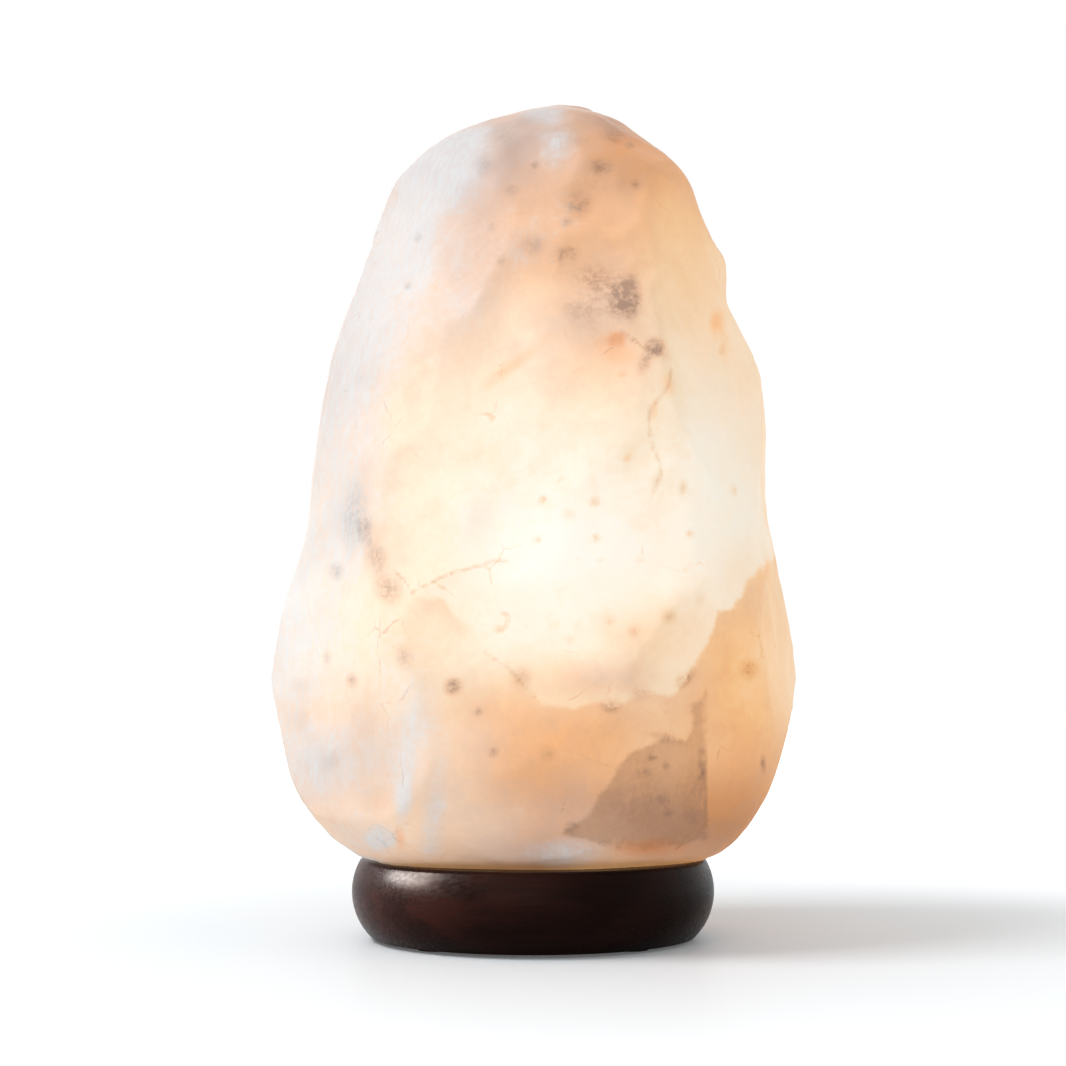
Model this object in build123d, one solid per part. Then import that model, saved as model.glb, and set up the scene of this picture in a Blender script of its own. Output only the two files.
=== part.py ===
from build123d import *
import math
import os

# Salt crystal lamp. A rock of salt, hewn by hand and drilled out from below, is screwed to a
# turned wooden base. A small screw lampholder with a candle bulb is pushed up into the bore of
# the base, where two spring wings grip the wall. To change the bulb, the wings are squeezed,
# the lampholder is pulled down out of the base, and the bulb is screwed out of it.
#
# Millimetres. +Z is up, +X to the viewer's right, -Y towards the viewer. The origin lies on the
# surface that the lamp stands on, in the middle of the object.

# ---------------------------------------------------------------- driving dimensions
# Clearances
fit_gap = 0.05  # round a piece that is pressed, screwed or cemented in
turn_gap = 0.12  # round a piece that turns or slides
touch_gap = 0.05  # between a dome or an edge and what it bears on

# Feet: self-adhesive felt discs under the base
foot_diameter = 11.0
foot_height = 1.0
foot_circle_diameter = 76.0
foot_count = 4

# Wooden base
base_diameter = 106.0
base_thickness = 22.5
base_belly_height = 12.5  # of the widest part, above the base's underside
base_rim_inset = 2.6  # the rim lies this far inside the widest part
base_edge_inset = 5.6  # and the bottom edge this far
base_rim_rounding = 1.6
bore_diameter = 50.0
cord_groove_width = 8.0
cord_groove_depth = 7.5

# Screws that hold the rock, and their plugs
screw_count = 3
screw_circle_diameter = 64.0
screw_length = 40.0
screw_diameter = 4.0
screw_head_diameter = 8.0
screw_head_height = 2.4
screw_tip_length = 4.0
screw_sink = 4.0  # depth of the head below the base's underside
screw_sink_diameter = 9.0
screw_drive_width = 0.9  # of each arm of the cross recess
screw_drive_depth = 1.2
plug_diameter = 7.0
plug_length = 25.0

# Rock of salt. Each level is its height above the rock's foot, and how far the rock reaches
# to the left and to the right of the lamp's axis at that height.
rock_levels = [
    (0.0, 41.8, 45.8),
    (4.5, 53.6, 56.9),
    (10.0, 59.6, 61.8),
    (16.0, 64.9, 66.9),
    (33.5, 73.3, 72.8),
    (53.5, 77.4, 77.9),
    (75.3, 72.7, 73.0),
    (93.1, 67.2, 70.6),
    (105.0, 65.7, 69.6),
    (122.5, 63.7, 69.6),
    (140.5, 61.2, 69.0),
    (152.5, 58.3, 65.3),
    (164.3, 54.0, 59.2),
    (176.0, 49.9, 57.6),
    (182.1, 48.4, 54.2),
    (194.0, 44.9, 49.5),
    (199.9, 40.4, 45.8),
    (205.9, 36.9, 41.2),
    (211.8, 28.6, 34.0),
    (217.7, 15.6, 26.4),
    (222.5, -0.5, 18.6),
]
rock_depth_share = 0.88  # depth from front to back, as a share of the width
rock_sway = 2.5  # the rock leans this far forward and back
rock_sway_height = 240.0  # over one full wave of this height
rock_lobes = [  # lobes round the section: how many, how deep, where, and their twist a metre
    (3, 0.045, -21.0, -273.0),
    (5, 0.030, -6.9, 255.0),
]
rock_corners = 14  # points round each ring
rock_rings = 22  # rings that the rock is lofted through, less one
# Broad flats left by the mason's chisel: direction seen from above (0 is +X, 270 the front),
# height above the rock's foot, tilt of the flat upwards, and how deep it bites.
chisel_flats = [
    (214.0, 112.0, 5.0, 3.0),
    (262.0, 118.0, 6.5, 4.0),
    (308.0, 42.0, -12.0, 3.2),
    (340.0, 66.0, 1.0, 1.4),
    (322.0, 158.0, 15.0, 3.0),
    (264.0, 188.0, 24.0, 2.5),
    (236.0, 40.0, -6.0, 2.5),
    (268.0, 20.0, -26.0, 2.5),
    (52.0, 70.0, 3.0, 4.5),
    (98.0, 120.0, 8.0, 4.5),
    (130.0, 50.0, -5.0, 3.5),
    (142.0, 165.0, 15.0, 3.5),
    (68.0, 190.0, 26.0, 3.0),
    (198.0, 204.0, 44.0, 1.6),
]
# Shallow hollows between the flats, strewn over the front and the back by the golden section
hollow_count = 34
hollow_bite = 2.0  # of the deepest, and the shallowest bites half as deep
hollow_radius = 120.0  # of the round that each is scooped to, up and down the rock
hollow_margin = 12.0  # from the rock's foot to the lowest, and twice this from the top
hollow_edge = 0.35  # none faces further sideways than this, where the levels give the outline
cavity_diameter = 46.0
cavity_depth = 131.0
cavity_tip_angle = 118.0

# Lampholder
holder_lift = 13.0  # the cap's underside above the base's underside
cap_diameter = 29.0
cap_height = 15.0
cap_wall = 1.9
cap_floor = 3.0
cap_boss_diameter = 14.0
cap_boss_height = 10.0
cap_boss_slot = 4.0
cap_flute_count = 18
cap_flute_diameter = 2.0
cap_flute_length = 10.0
body_diameter = 28.0
body_height = 31.0
body_wall = 2.4
body_spigot_length = 7.0
body_spigot_wall = 1.2
body_ledge = 1.8
body_ledge_thickness = 1.5
body_lip = 1.9
body_lip_height = 2.0
body_edge_rounding = 0.8
carrier_height = 13.0
terminal_width = 4.0
terminal_length = 7.0
terminal_rim = 1.1  # of the carrier outside each terminal
terminal_wire_hole = 2.2
terminal_screw_diameter = 3.0
terminal_screw_length = 4.5
shell_wall = 0.45
shell_height = 16.0
shell_flange = 3.0
leaf_thickness = 0.4
leaf_width = 4.0
leaf_rise = 1.3
leaf_reach = 3.6  # of the leaf's two ends from the axis
leaf_bend = 0.8
nipple_diameter = 10.0
nipple_bore = 8.0
nipple_below_nut = 1.7
nipple_end_gap = 2.0  # from the nipple's top to the carrier
nut_width = 14.0
nut_height = 3.0
bushing_bore = 6.4
bushing_flange_diameter = 11.0
bushing_flange_height = 1.5
bushing_sleeve_length = 6.0

# Spring clip
strip_thickness = 0.8
bracket_width = 14.0
wing_width = 10.0
leg_gap = 0.7  # between the cap and each leg of the bracket
leg_height = 6.0  # above the cap's underside
strip_bend = 1.2
wing_bend = 2.0  # radius of the bend that each wing turns on
wing_grip_gap = 0.25  # between the wing's elbow and the bore
wing_finger_clearance = 2.5  # the finger tab's end above the base's underside
wing_finger_length = 5.0
wing_finger_angle = 28.0  # of the tab inwards

# Candle bulb. Heights count from the tip of its contact.
bulb_contact_height = 1.2
bulb_contact_diameter = 5.0
bulb_insulator_top = 4.4
bulb_insulator_diameter = 10.4
bulb_cap_diameter = 13.9
bulb_cap_wall = 0.35
bulb_skirt_bottom = 20.0
bulb_skirt_diameter = 17.0
bulb_skirt_top = 26.0
glass_wall = 0.7
glass_bottom = 23.5
glass_outline = [  # (radius, height) from the neck up
    (7.6, 27.5),
    (12.4, 40.5),
    (17.5, 57.5),
    (12.7, 79.5),
    (3.9, 94.6),
]
glass_top = 98.0
stem_flare_diameter = 13.7
stem_flare_height = 5.0
stem_diameter = 5.6
stem_bore = 4.4
stem_pinch_bottom = 40.0
stem_pinch_top = 47.0
stem_pinch_width = 5.6
stem_pinch_thickness = 2.4
wire_diameter = 0.7
wire_pitch = 2.8  # between the two lead wires inside the stem
wire_foot = 8.0
wire_spread = 13.0  # between the tips of the lead wires
wire_top = 58.0
filament_diameter = 0.5
filament_rise = 4.0
filament_bend = 2.5
support_gap = 0.3

# ---------------------------------------------------------------- heights worked out from them
base_bottom = foot_height
base_top = base_bottom + base_thickness
rock_bottom = base_top
cap_bottom = base_bottom + holder_lift
cap_top = cap_bottom + cap_height
body_top = cap_top + body_height
carrier_bottom = cap_bottom + cap_floor + cap_boss_height
carrier_shoulder = carrier_bottom + carrier_height
carrier_top = carrier_shoulder + body_ledge_thickness
bulb_tip = carrier_top + leaf_thickness + leaf_rise + touch_gap
screw_seat = base_bottom + screw_sink

body_radius = body_diameter / 2
body_bore_radius = body_radius - body_wall
spigot_bore_radius = cap_diameter / 2 - cap_wall - fit_gap - body_spigot_wall
carrier_radius = min(spigot_bore_radius, body_bore_radius) - fit_gap
terminal_offset = carrier_radius - terminal_rim - terminal_width / 2
ledge_radius = body_bore_radius - body_ledge
shell_bore_radius = bulb_cap_diameter / 2 + turn_gap
shell_radius = shell_bore_radius + shell_wall
bore_radius = bore_diameter / 2

up = (Align.CENTER, Align.CENTER, Align.MIN)


# ---------------------------------------------------------------- helpers
def rod(diameter, bottom, top):
    """A round bar on the lamp's axis, from one height to another."""
    return Pos(0, 0, bottom) * Cylinder(diameter / 2, top - bottom, align=up)


def tube(outer, inner, bottom, top):
    """A round tube on the lamp's axis. outer and inner are diameters."""
    return rod(outer, bottom, top) - rod(inner, bottom, top)


def turned(*outline):
    """A solid turned about the lamp's axis from (radius, height) corners."""
    corners = [(radius, 0, height) for radius, height in outline]
    return revolve(make_face(Polyline(*corners, close=True)), Axis.Z)


def around(count, diameter, first_angle):
    """The places of a ring of copies, as (x, y) points."""
    step = 360 / count
    angles = [math.radians(first_angle + step * i) for i in range(count)]
    return [(diameter / 2 * math.cos(a), diameter / 2 * math.sin(a)) for a in angles]


def bent_strip(points, bend, thickness, width):
    """Sheet metal bent in the XZ plane: its middle line, the radius of its bends and its size."""
    line = FilletPolyline(*[(x, 0, z) for x, z in points], radius=bend)
    section = Plane(origin=line @ 0, x_dir=(0, 1, 0), z_dir=line % 0) * Rectangle(width, thickness)
    return sweep(section, path=line)


def wire(points, bend, diameter):
    """Round wire through points in the XZ plane, with rounded corners."""
    line = FilletPolyline(*[(x, 0, z) for x, z in points], radius=bend)
    section = Plane(origin=line @ 0, z_dir=line % 0) * Circle(diameter / 2)
    return sweep(section, path=line)


# ---------------------------------------------------------------- the stand
screw_places = around(screw_count, screw_circle_diameter, 270)
foot_places = around(foot_count, foot_circle_diameter, 45)


def wooden_base():
    """Turned disc with a bulging side, a bore for the lampholder and a groove for the cord."""
    widest = base_diameter / 2
    rim = widest - base_rim_inset
    edge = widest - base_edge_inset
    side = ThreePointArc((edge, 0, 0), (widest, 0, base_belly_height), (rim, 0, base_thickness))
    rest = Polyline((rim, 0, base_thickness), (0, 0, base_thickness), (0, 0, 0), (edge, 0, 0))
    wood = revolve(make_face([side, rest]), Axis.Z)
    wood = fillet(wood.edges().group_by(Axis.Z)[-1], base_rim_rounding)
    wood = Pos(0, 0, base_bottom) * wood
    wood -= rod(bore_diameter, base_bottom, base_top)
    groove = Box(cord_groove_width, base_diameter, cord_groove_depth - cord_groove_width / 2,
                 align=(Align.CENTER, Align.MIN, Align.MIN))
    groove_top = Rotation(-90, 0, 0) * Cylinder(cord_groove_width / 2, base_diameter, align=up)
    groove_centre = base_bottom + cord_groove_depth - cord_groove_width / 2
    wood -= Pos(0, 0, base_bottom) * groove
    wood -= Pos(0, 0, groove_centre) * groove_top
    shank = Cylinder(screw_diameter / 2 + fit_gap, base_thickness, align=up)
    sink = Cylinder(screw_sink_diameter / 2, screw_sink, align=up)
    seat = Pos(0, 0, screw_sink) * screw_head(fit_gap)
    for x, y in screw_places:
        wood -= Pos(x, y, base_bottom) * (shank + sink + seat)
    return wood


def feet():
    """Felt discs, stuck under the base."""
    disc = Cylinder(foot_diameter / 2, foot_height, align=up)
    return Compound([Pos(x, y, 0) * disc for x, y in foot_places])


def screw_head(gap=0.0):
    """Countersunk head with its flat face down at height 0."""
    return Cone(screw_head_diameter / 2 + gap, screw_diameter / 2 + gap, screw_head_height, align=up)


def rock_screws():
    """Countersunk wood screws, driven up through the base into the plugs."""
    shank = Cylinder(screw_diameter / 2, screw_length - screw_tip_length, align=up)
    tip = Pos(0, 0, screw_length - screw_tip_length) * Cone(
        screw_diameter / 2, touch_gap, screw_tip_length, align=up)
    arm = Box(screw_head_diameter / 2, screw_drive_width, screw_drive_depth, align=up)
    cross = arm + Rotation(0, 0, 90) * arm
    screw = screw_head() + shank + tip - cross
    return Compound([Pos(x, y, screw_seat) * screw for x, y in screw_places])


def screw_plugs():
    """Nylon plugs in the rock, split at the bottom so that the screw spreads them."""
    reach = screw_seat + screw_length + touch_gap - rock_bottom
    body = Cylinder(plug_diameter / 2, plug_length, align=up)
    hole = Cylinder(screw_diameter / 2 + fit_gap, reach, align=up)
    split = Box(plug_diameter, screw_drive_width, plug_length / 2, align=up)
    plug = body - hole - split
    return Compound([Pos(x, y, rock_bottom) * plug for x, y in screw_places])


# ---------------------------------------------------------------- the rock
def slopes(heights, reaches):
    """The slope of a smooth curve at each level, flat wherever the curve turns back."""
    rises = [
        (reaches[i + 1] - reaches[i]) / (heights[i + 1] - heights[i]) for i in range(len(heights) - 1)]
    inner = [0 if a * b <= 0 else 2 * a * b / (a + b) for a, b in zip(rises, rises[1:])]
    return [rises[0], *inner, rises[-1]]


def rock_reach(height):
    """How far the rock reaches to the left and right at a height: smooth curves through the levels."""
    heights = [level[0] for level in rock_levels]
    i = max(j for j in range(len(heights) - 1) if heights[j] <= height)
    step = heights[i + 1] - heights[i]
    t = (height - heights[i]) / step
    found = []
    for side in (1, 2):
        reaches = [level[side] for level in rock_levels]
        slope = slopes(heights, reaches)
        found.append(
            reaches[i] * (1 + 2 * t) * (1 - t) ** 2 + slope[i] * step * t * (1 - t) ** 2
            + reaches[i + 1] * t**2 * (3 - 2 * t) - slope[i + 1] * step * t**2 * (1 - t))
    return found


def ring_heights():
    """Heights of the rings that the rock is lofted through, evenly spaced along its outline."""
    runs = [0.0]
    for low, high in zip(rock_levels, rock_levels[1:]):
        drawn_in = (low[1] + low[2] - high[1] - high[2]) / 2
        runs.append(runs[-1] + math.hypot(high[0] - low[0], drawn_in))
    heights = []
    for ring in range(rock_rings + 1):
        run = runs[-1] * ring / rock_rings
        i = max(j for j in range(len(runs) - 1) if runs[j] <= run)
        share = (run - runs[i]) / (runs[i + 1] - runs[i])
        heights.append(rock_levels[i][0] + share * (rock_levels[i + 1][0] - rock_levels[i][0]))
    return heights


def rock_sway_at(height):
    """How far back the middle of the rock lies at a height."""
    return rock_sway * math.sin(2 * math.pi * height / rock_sway_height)


def rock_ring(height):
    """The rock's outline at a height: a closed irregular curve as wide as the levels say."""
    rim = []
    for i in range(rock_corners):
        angle = 2 * math.pi * i / rock_corners
        swell = 1.0
        for count, size, place, twist in rock_lobes:
            turn = math.radians(place + twist * height / 1000)
            swell += size * math.cos(count * (angle - turn))
        rim.append((swell * math.cos(angle), swell * math.sin(angle)))
    box = Spline(*rim, periodic=True).bounding_box()
    left, right = rock_reach(height)
    half_width = (left + right) / 2
    half_depth = half_width * rock_depth_share
    points = [
        (
            (right - left) / 2 + half_width * (2 * (x - box.min.X) / box.size.X - 1),
            rock_sway_at(height) + half_depth * (2 * (y - box.min.Y) / box.size.Y - 1),
            height,
        )
        for x, y in rim
    ]
    return make_face(Spline(*points, periodic=True))


def chisel(azimuth, height, tilt, bite):
    """The waste beyond one flat: a block whose face cuts the rock at that depth."""
    left, right = rock_reach(height)
    across, along = math.cos(math.radians(azimuth)), math.sin(math.radians(azimuth))
    half_width = (left + right) / 2
    reach = half_width / math.hypot(across, along / rock_depth_share)
    level_direction = Vector(across, along, 0)
    outward = Vector(1, 0, 0).rotate(Axis.Y, -tilt).rotate(Axis.Z, azimuth)
    middle = Vector((right - left) / 2, rock_sway_at(height), height)
    size = 2 * rock_levels[-1][0]
    block = Box(size, size, size, align=up)
    return Plane(origin=middle + level_direction * (reach - bite), z_dir=outward) * block


def hollow(i):
    """The waste scooped out of one hollow, or None where it would face the rock's left or right."""
    low, high = hollow_margin, rock_levels[-1][0] - 2 * hollow_margin
    height = low + (high - low) * (i + 0.5) / hollow_count
    rim = rock_ring(height).edge()
    share = i * (math.sqrt(5) - 1) / 2 % 1
    place, along = rim @ share, rim % share
    outward = along.cross(Vector(0, 0, 1))
    if outward.dot(place) < 0:
        outward = -outward
    if abs(outward.Y) < hollow_edge:
        return None
    drawn_in = sum(rock_reach(height)) / 2 - sum(rock_reach(height + 1)) / 2
    outward = (outward + Vector(0, 0, drawn_in)).normalized()
    bite = hollow_bite * (3 + math.cos(5 * i)) / 4
    scoop = Cylinder(hollow_radius, 2 * hollow_radius)
    return Plane(origin=place + outward * (hollow_radius - bite), z_dir=along) * scoop


def salt_crystal():
    """The hewn rock with its flat foot, the drilled cavity for the bulb and the plug holes."""
    rock = loft([rock_ring(height) for height in ring_heights()])
    for flat in chisel_flats:
        rock -= chisel(*flat)
    for waste in filter(None, [hollow(i) for i in range(hollow_count)]):
        rock -= waste
    below = (Align.CENTER, Align.CENTER, Align.MAX)  # the foot is sawn flat
    rock -= Box(2 * rock_levels[-1][0], 2 * rock_levels[-1][0], hollow_margin, align=below)
    box = rock.bounding_box()
    rock = Pos(-(box.min.X + box.max.X) / 2, -(box.min.Y + box.max.Y) / 2, rock_bottom) * rock
    cone_height = cavity_diameter / 2 / math.tan(math.radians(cavity_tip_angle / 2))
    rock -= rod(cavity_diameter, rock_bottom, rock_bottom + cavity_depth)
    rock -= Pos(0, 0, rock_bottom + cavity_depth) * Cone(cavity_diameter / 2, 0, cone_height, align=up)
    hole = Cylinder(plug_diameter / 2 + fit_gap, plug_length + fit_gap, align=up)
    for x, y in screw_places:
        rock -= Pos(x, y, rock_bottom) * hole
    return rock


# ---------------------------------------------------------------- the lampholder
def holder_cap():
    """Moulded cup with grip flutes and a slotted boss for the nipple."""
    radius = cap_diameter / 2
    cup = turned(
        (0, cap_bottom), (radius, cap_bottom), (radius, cap_top), (radius - cap_wall, cap_top),
        (radius - cap_wall, cap_bottom + cap_floor), (0, cap_bottom + cap_floor))
    cup = chamfer(cup.edges().group_by(Axis.Z)[0], cap_wall / 3)
    cup += rod(cap_boss_diameter, cap_bottom + cap_floor, carrier_bottom)
    cup -= rod(nipple_diameter + 2 * fit_gap, cap_bottom, carrier_bottom)
    slot = Box(cap_diameter - 3 * cap_wall, cap_boss_slot, cap_boss_height / 2, align=up)
    cup -= Pos(0, 0, carrier_bottom - cap_boss_height / 2) * slot
    flute = Cylinder(cap_flute_diameter / 2, cap_flute_length, align=up)
    flute_bottom = cap_top - cap_flute_length
    for x, y in around(cap_flute_count, cap_diameter + cap_flute_diameter / 2, 0):
        cup -= Pos(x, y, flute_bottom) * flute
    return cup


def holder_body():
    """Moulded sleeve round the contacts, with a spigot that screws into the cap."""
    spigot_radius = cap_diameter / 2 - cap_wall - fit_gap
    lip_bottom = body_top - body_lip_height
    sleeve = turned(
        (body_radius, cap_top), (body_radius, body_top), (body_bore_radius - body_lip, body_top),
        (body_bore_radius - body_lip, lip_bottom), (body_bore_radius, lip_bottom - body_lip),
        (body_bore_radius, carrier_top), (ledge_radius, carrier_top), (ledge_radius, carrier_shoulder),
        (spigot_bore_radius, carrier_shoulder), (spigot_bore_radius, cap_top - body_spigot_length),
        (spigot_radius, cap_top - body_spigot_length), (spigot_radius, cap_top))
    outer_top = sleeve.edges().group_by(Axis.Z)[-1].sort_by(SortBy.RADIUS)[-1]
    return fillet(outer_top, body_edge_rounding)


def terminal_places():
    """Where the two terminals stand in the carrier, as (x, y) points."""
    return [(0, terminal_offset), (0, -terminal_offset)]


def contact_carrier():
    """Ceramic puck that carries the contacts, with a pocket for each terminal."""
    puck = rod(2 * carrier_radius, carrier_bottom, carrier_shoulder)
    puck += rod(2 * (ledge_radius - fit_gap), carrier_shoulder, carrier_top)
    side = terminal_width + 2 * fit_gap
    pocket = Box(side, side, terminal_length + fit_gap, align=up)
    wire_way = Box(
        2 * carrier_radius, terminal_wire_hole, terminal_length - terminal_screw_length, align=up)
    for x, y in terminal_places():
        puck -= Pos(x, y, carrier_bottom) * pocket
        puck -= Pos(x, y, carrier_bottom + terminal_screw_length) * wire_way
    return puck


def terminals():
    """Brass blocks, each with a hole for the wire and a tapped hole that runs into it."""
    block = Box(terminal_width, terminal_width, terminal_length, align=up)
    wire_height = terminal_screw_length + terminal_wire_hole / 2
    tapped = Cylinder(terminal_screw_diameter / 2 + fit_gap, wire_height, align=up)
    wire_hole = Rotation(0, 90, 0) * Cylinder(terminal_wire_hole / 2, terminal_width)
    block = block - tapped - Pos(0, 0, wire_height) * wire_hole
    return Compound([Pos(x, y, carrier_bottom) * block for x, y in terminal_places()])


def terminal_screws():
    """Slotted grub screws, flush with the underside of the terminals."""
    grub = Cylinder(terminal_screw_diameter / 2, terminal_screw_length - touch_gap, align=up)
    grub -= Box(terminal_screw_diameter, screw_drive_width / 2, screw_drive_depth, align=up)
    return Compound([Pos(x, y, carrier_bottom) * grub for x, y in terminal_places()])


def screw_shell():
    """Thin cup that the bulb's cap screws into."""
    return turned(
        (shell_radius - shell_flange, carrier_top), (shell_radius, carrier_top),
        (shell_radius, carrier_top + shell_height), (shell_bore_radius, carrier_top + shell_height),
        (shell_bore_radius, carrier_top + shell_wall),
        (shell_radius - shell_flange, carrier_top + shell_wall))


def centre_contact():
    """Sprung leaf that bears on the tip of the bulb."""
    low = carrier_top + leaf_thickness / 2
    high = low + leaf_rise
    foot_end = -leaf_reach / 2
    leaf = [(-leaf_reach, low), (foot_end, low), (foot_end + leaf_rise, high), (leaf_reach / 2, high)]
    return bent_strip(leaf, leaf_bend, leaf_thickness, leaf_width)


def entry_nipple():
    """Threaded tube that the cord comes in through."""
    bottom = cap_bottom - strip_thickness - nut_height - nipple_below_nut
    return tube(nipple_diameter, nipple_bore, bottom, carrier_bottom - nipple_end_gap)


def nipple_nut():
    """Hexagon nut that clamps the bracket to the cap."""
    top = cap_bottom - strip_thickness
    hexagon = extrude(RegularPolygon(nut_width / 2, 6, major_radius=False), nut_height)
    return Pos(0, 0, top - nut_height) * hexagon - rod(
        nipple_diameter + 2 * fit_gap, top - nut_height, top)


def cord_bushing():
    """Plastic bushing that keeps the cord off the nipple's edge."""
    flange_top = cap_bottom - strip_thickness - nut_height - nipple_below_nut
    flange_bottom = flange_top - bushing_flange_height
    bushing = rod(bushing_flange_diameter, flange_bottom, flange_top)
    bushing += rod(nipple_bore - 2 * fit_gap, flange_top, flange_top + bushing_sleeve_length)
    bushing -= rod(bushing_bore, flange_bottom, flange_top + bushing_sleeve_length)
    return chamfer(bushing.edges().group_by(Axis.Z)[0], (bushing_flange_diameter - bushing_bore) / 8)


# ---------------------------------------------------------------- the spring clip
leg_middle = cap_diameter / 2 + leg_gap + strip_thickness / 2
leg_top = cap_bottom + leg_height
wing_axis = leg_middle + wing_bend
wing_elbow = math.sqrt(bore_radius**2 - (wing_width / 2) ** 2) - wing_grip_gap - strip_thickness / 2
finger_bottom = base_bottom + wing_finger_clearance
elbow_height = finger_bottom + wing_finger_length * math.cos(math.radians(wing_finger_angle))


def clip_bracket():
    """Strip bent to a U round the cap and held under it by the nut."""
    web = cap_bottom - strip_thickness / 2
    strip = bent_strip(
        [(-leg_middle, leg_top), (-leg_middle, web), (leg_middle, web), (leg_middle, leg_top)],
        strip_bend, strip_thickness, bracket_width)
    return strip - rod(nipple_diameter + 2 * fit_gap, cap_bottom - strip_thickness, cap_bottom)


def clip_wing():
    """The right-hand spring wing: a bend at the leg's top, a blade that reaches out and down to
    the bore, and a tab turned in at the end for the finger that squeezes it."""
    run_x, run_z = wing_elbow - wing_axis, elbow_height - leg_top
    blade_angle = math.atan2(run_z, run_x) + math.acos(wing_bend / math.hypot(run_x, run_z))
    bend_end = (
        wing_axis + wing_bend * math.cos(blade_angle), 0, leg_top + wing_bend * math.sin(blade_angle))
    finger_in = wing_finger_length * math.sin(math.radians(wing_finger_angle))
    crown = ThreePointArc(
        (leg_middle, 0, leg_top), (wing_axis, 0, leg_top + wing_bend), bend_end)
    blade = FilletPolyline(
        bend_end, (wing_elbow, 0, elbow_height), (wing_elbow - finger_in, 0, finger_bottom),
        radius=strip_bend)
    line = Wire([*crown.edges(), *blade.edges()])
    section = Plane(origin=line @ 0, x_dir=(0, 1, 0), z_dir=line % 0) * Rectangle(
        wing_width, strip_thickness)
    return sweep(section, path=line)


# ---------------------------------------------------------------- the bulb
def at_bulb(*outline):
    """A turned solid whose heights count from the tip of the bulb's contact."""
    return Pos(0, 0, bulb_tip) * turned(*outline)


def bulb_contact():
    """Dome of solder at the bulb's tip."""
    radius = bulb_contact_diameter / 2
    dome = EllipticalCenterArc(
        (0, bulb_contact_height), radius, bulb_contact_height, start_angle=270, arc_size=90)
    rest = Polyline((radius, bulb_contact_height), (0, bulb_contact_height), (0, 0))
    return Pos(0, 0, bulb_tip) * revolve(Plane.XZ * make_face([dome, rest]), Axis.Z)


def bulb_insulator():
    """Black glass between the contact and the cap."""
    foot, top = bulb_contact_diameter / 2, bulb_insulator_diameter / 2 - fit_gap
    return at_bulb(
        (0, bulb_contact_height), (foot, bulb_contact_height), (top, bulb_insulator_top),
        (top, bulb_insulator_top + bulb_contact_height), (0, bulb_insulator_top + bulb_contact_height))


def bulb_cap():
    """Thin screw cap with a flared skirt for the glass."""
    rim, thread, skirt = bulb_insulator_diameter / 2, bulb_cap_diameter / 2, bulb_skirt_diameter / 2
    slope = thread - rim
    flare = skirt - thread
    outside = [
        (rim, bulb_insulator_top), (thread, bulb_insulator_top + slope), (thread, bulb_skirt_bottom),
        (skirt, bulb_skirt_bottom + flare), (skirt, bulb_skirt_top)]
    inside = [
        (skirt - bulb_cap_wall, bulb_skirt_top), (skirt - bulb_cap_wall, bulb_skirt_bottom + flare),
        (thread - bulb_cap_wall, bulb_skirt_bottom),
        (thread - bulb_cap_wall, bulb_insulator_top + slope + bulb_cap_wall),
        (rim, bulb_insulator_top + 2 * bulb_cap_wall)]
    return at_bulb(*outside, *inside)


def bulb_cement():
    """Ring of cement that fixes the glass in the skirt of the cap."""
    inner, outer = glass_outline[0][0] + fit_gap, bulb_skirt_diameter / 2 - bulb_cap_wall - fit_gap
    return at_bulb(
        (inner, glass_bottom), (outer, glass_bottom), (outer, bulb_skirt_top), (inner, bulb_skirt_top))


def inset(points, wall):
    """The points of an outline moved a wall's thickness towards the axis."""
    moved = []
    for before, point, after in zip(points, points[1:], points[2:]):
        along, rise = after[0] - before[0], after[1] - before[1]
        size = math.hypot(along, rise)
        moved.append((point[0] - wall * rise / size, point[1] + wall * along / size))
    return moved


def bulb_glass():
    """Blown candle-shaped envelope, open at the neck."""
    neck = glass_outline[0][0]
    outer = [(neck, glass_bottom), *glass_outline, (0, glass_top)]
    inner = [(neck - glass_wall, glass_bottom), *inset(outer, glass_wall), (0, glass_top - glass_wall)]
    edges = []
    for points in (outer, inner):
        places = [(radius, 0, height) for radius, height in points]
        edges.append(Line(places[0], places[1]))
        edges.append(Spline(*places[1:], tangents=[(0, 0, 1), (-1, 0, 0)]))
    edges.append(Line((neck, 0, glass_bottom), (neck - glass_wall, 0, glass_bottom)))
    edges.append(Line((0, 0, glass_top), (0, 0, glass_top - glass_wall)))
    return Pos(0, 0, bulb_tip) * revolve(make_face(edges), Axis.Z)


def lead_line(side):
    """The route of one lead wire, from inside the cap to the end of the filament."""
    inner, outer = side * wire_pitch / 2, side * wire_spread / 2
    spread_start = bulb_tip + stem_pinch_top + wire_diameter
    spread_end = spread_start + (wire_spread - wire_pitch) / 2
    return [
        (inner, bulb_tip + wire_foot), (inner, spread_start), (outer, spread_end),
        (outer, bulb_tip + wire_top)]


def bulb_leads(thickness=wire_diameter):
    """The two lead wires."""
    return Compound([wire(lead_line(side), 2 * wire_diameter, thickness) for side in (-1, 1)])


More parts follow.
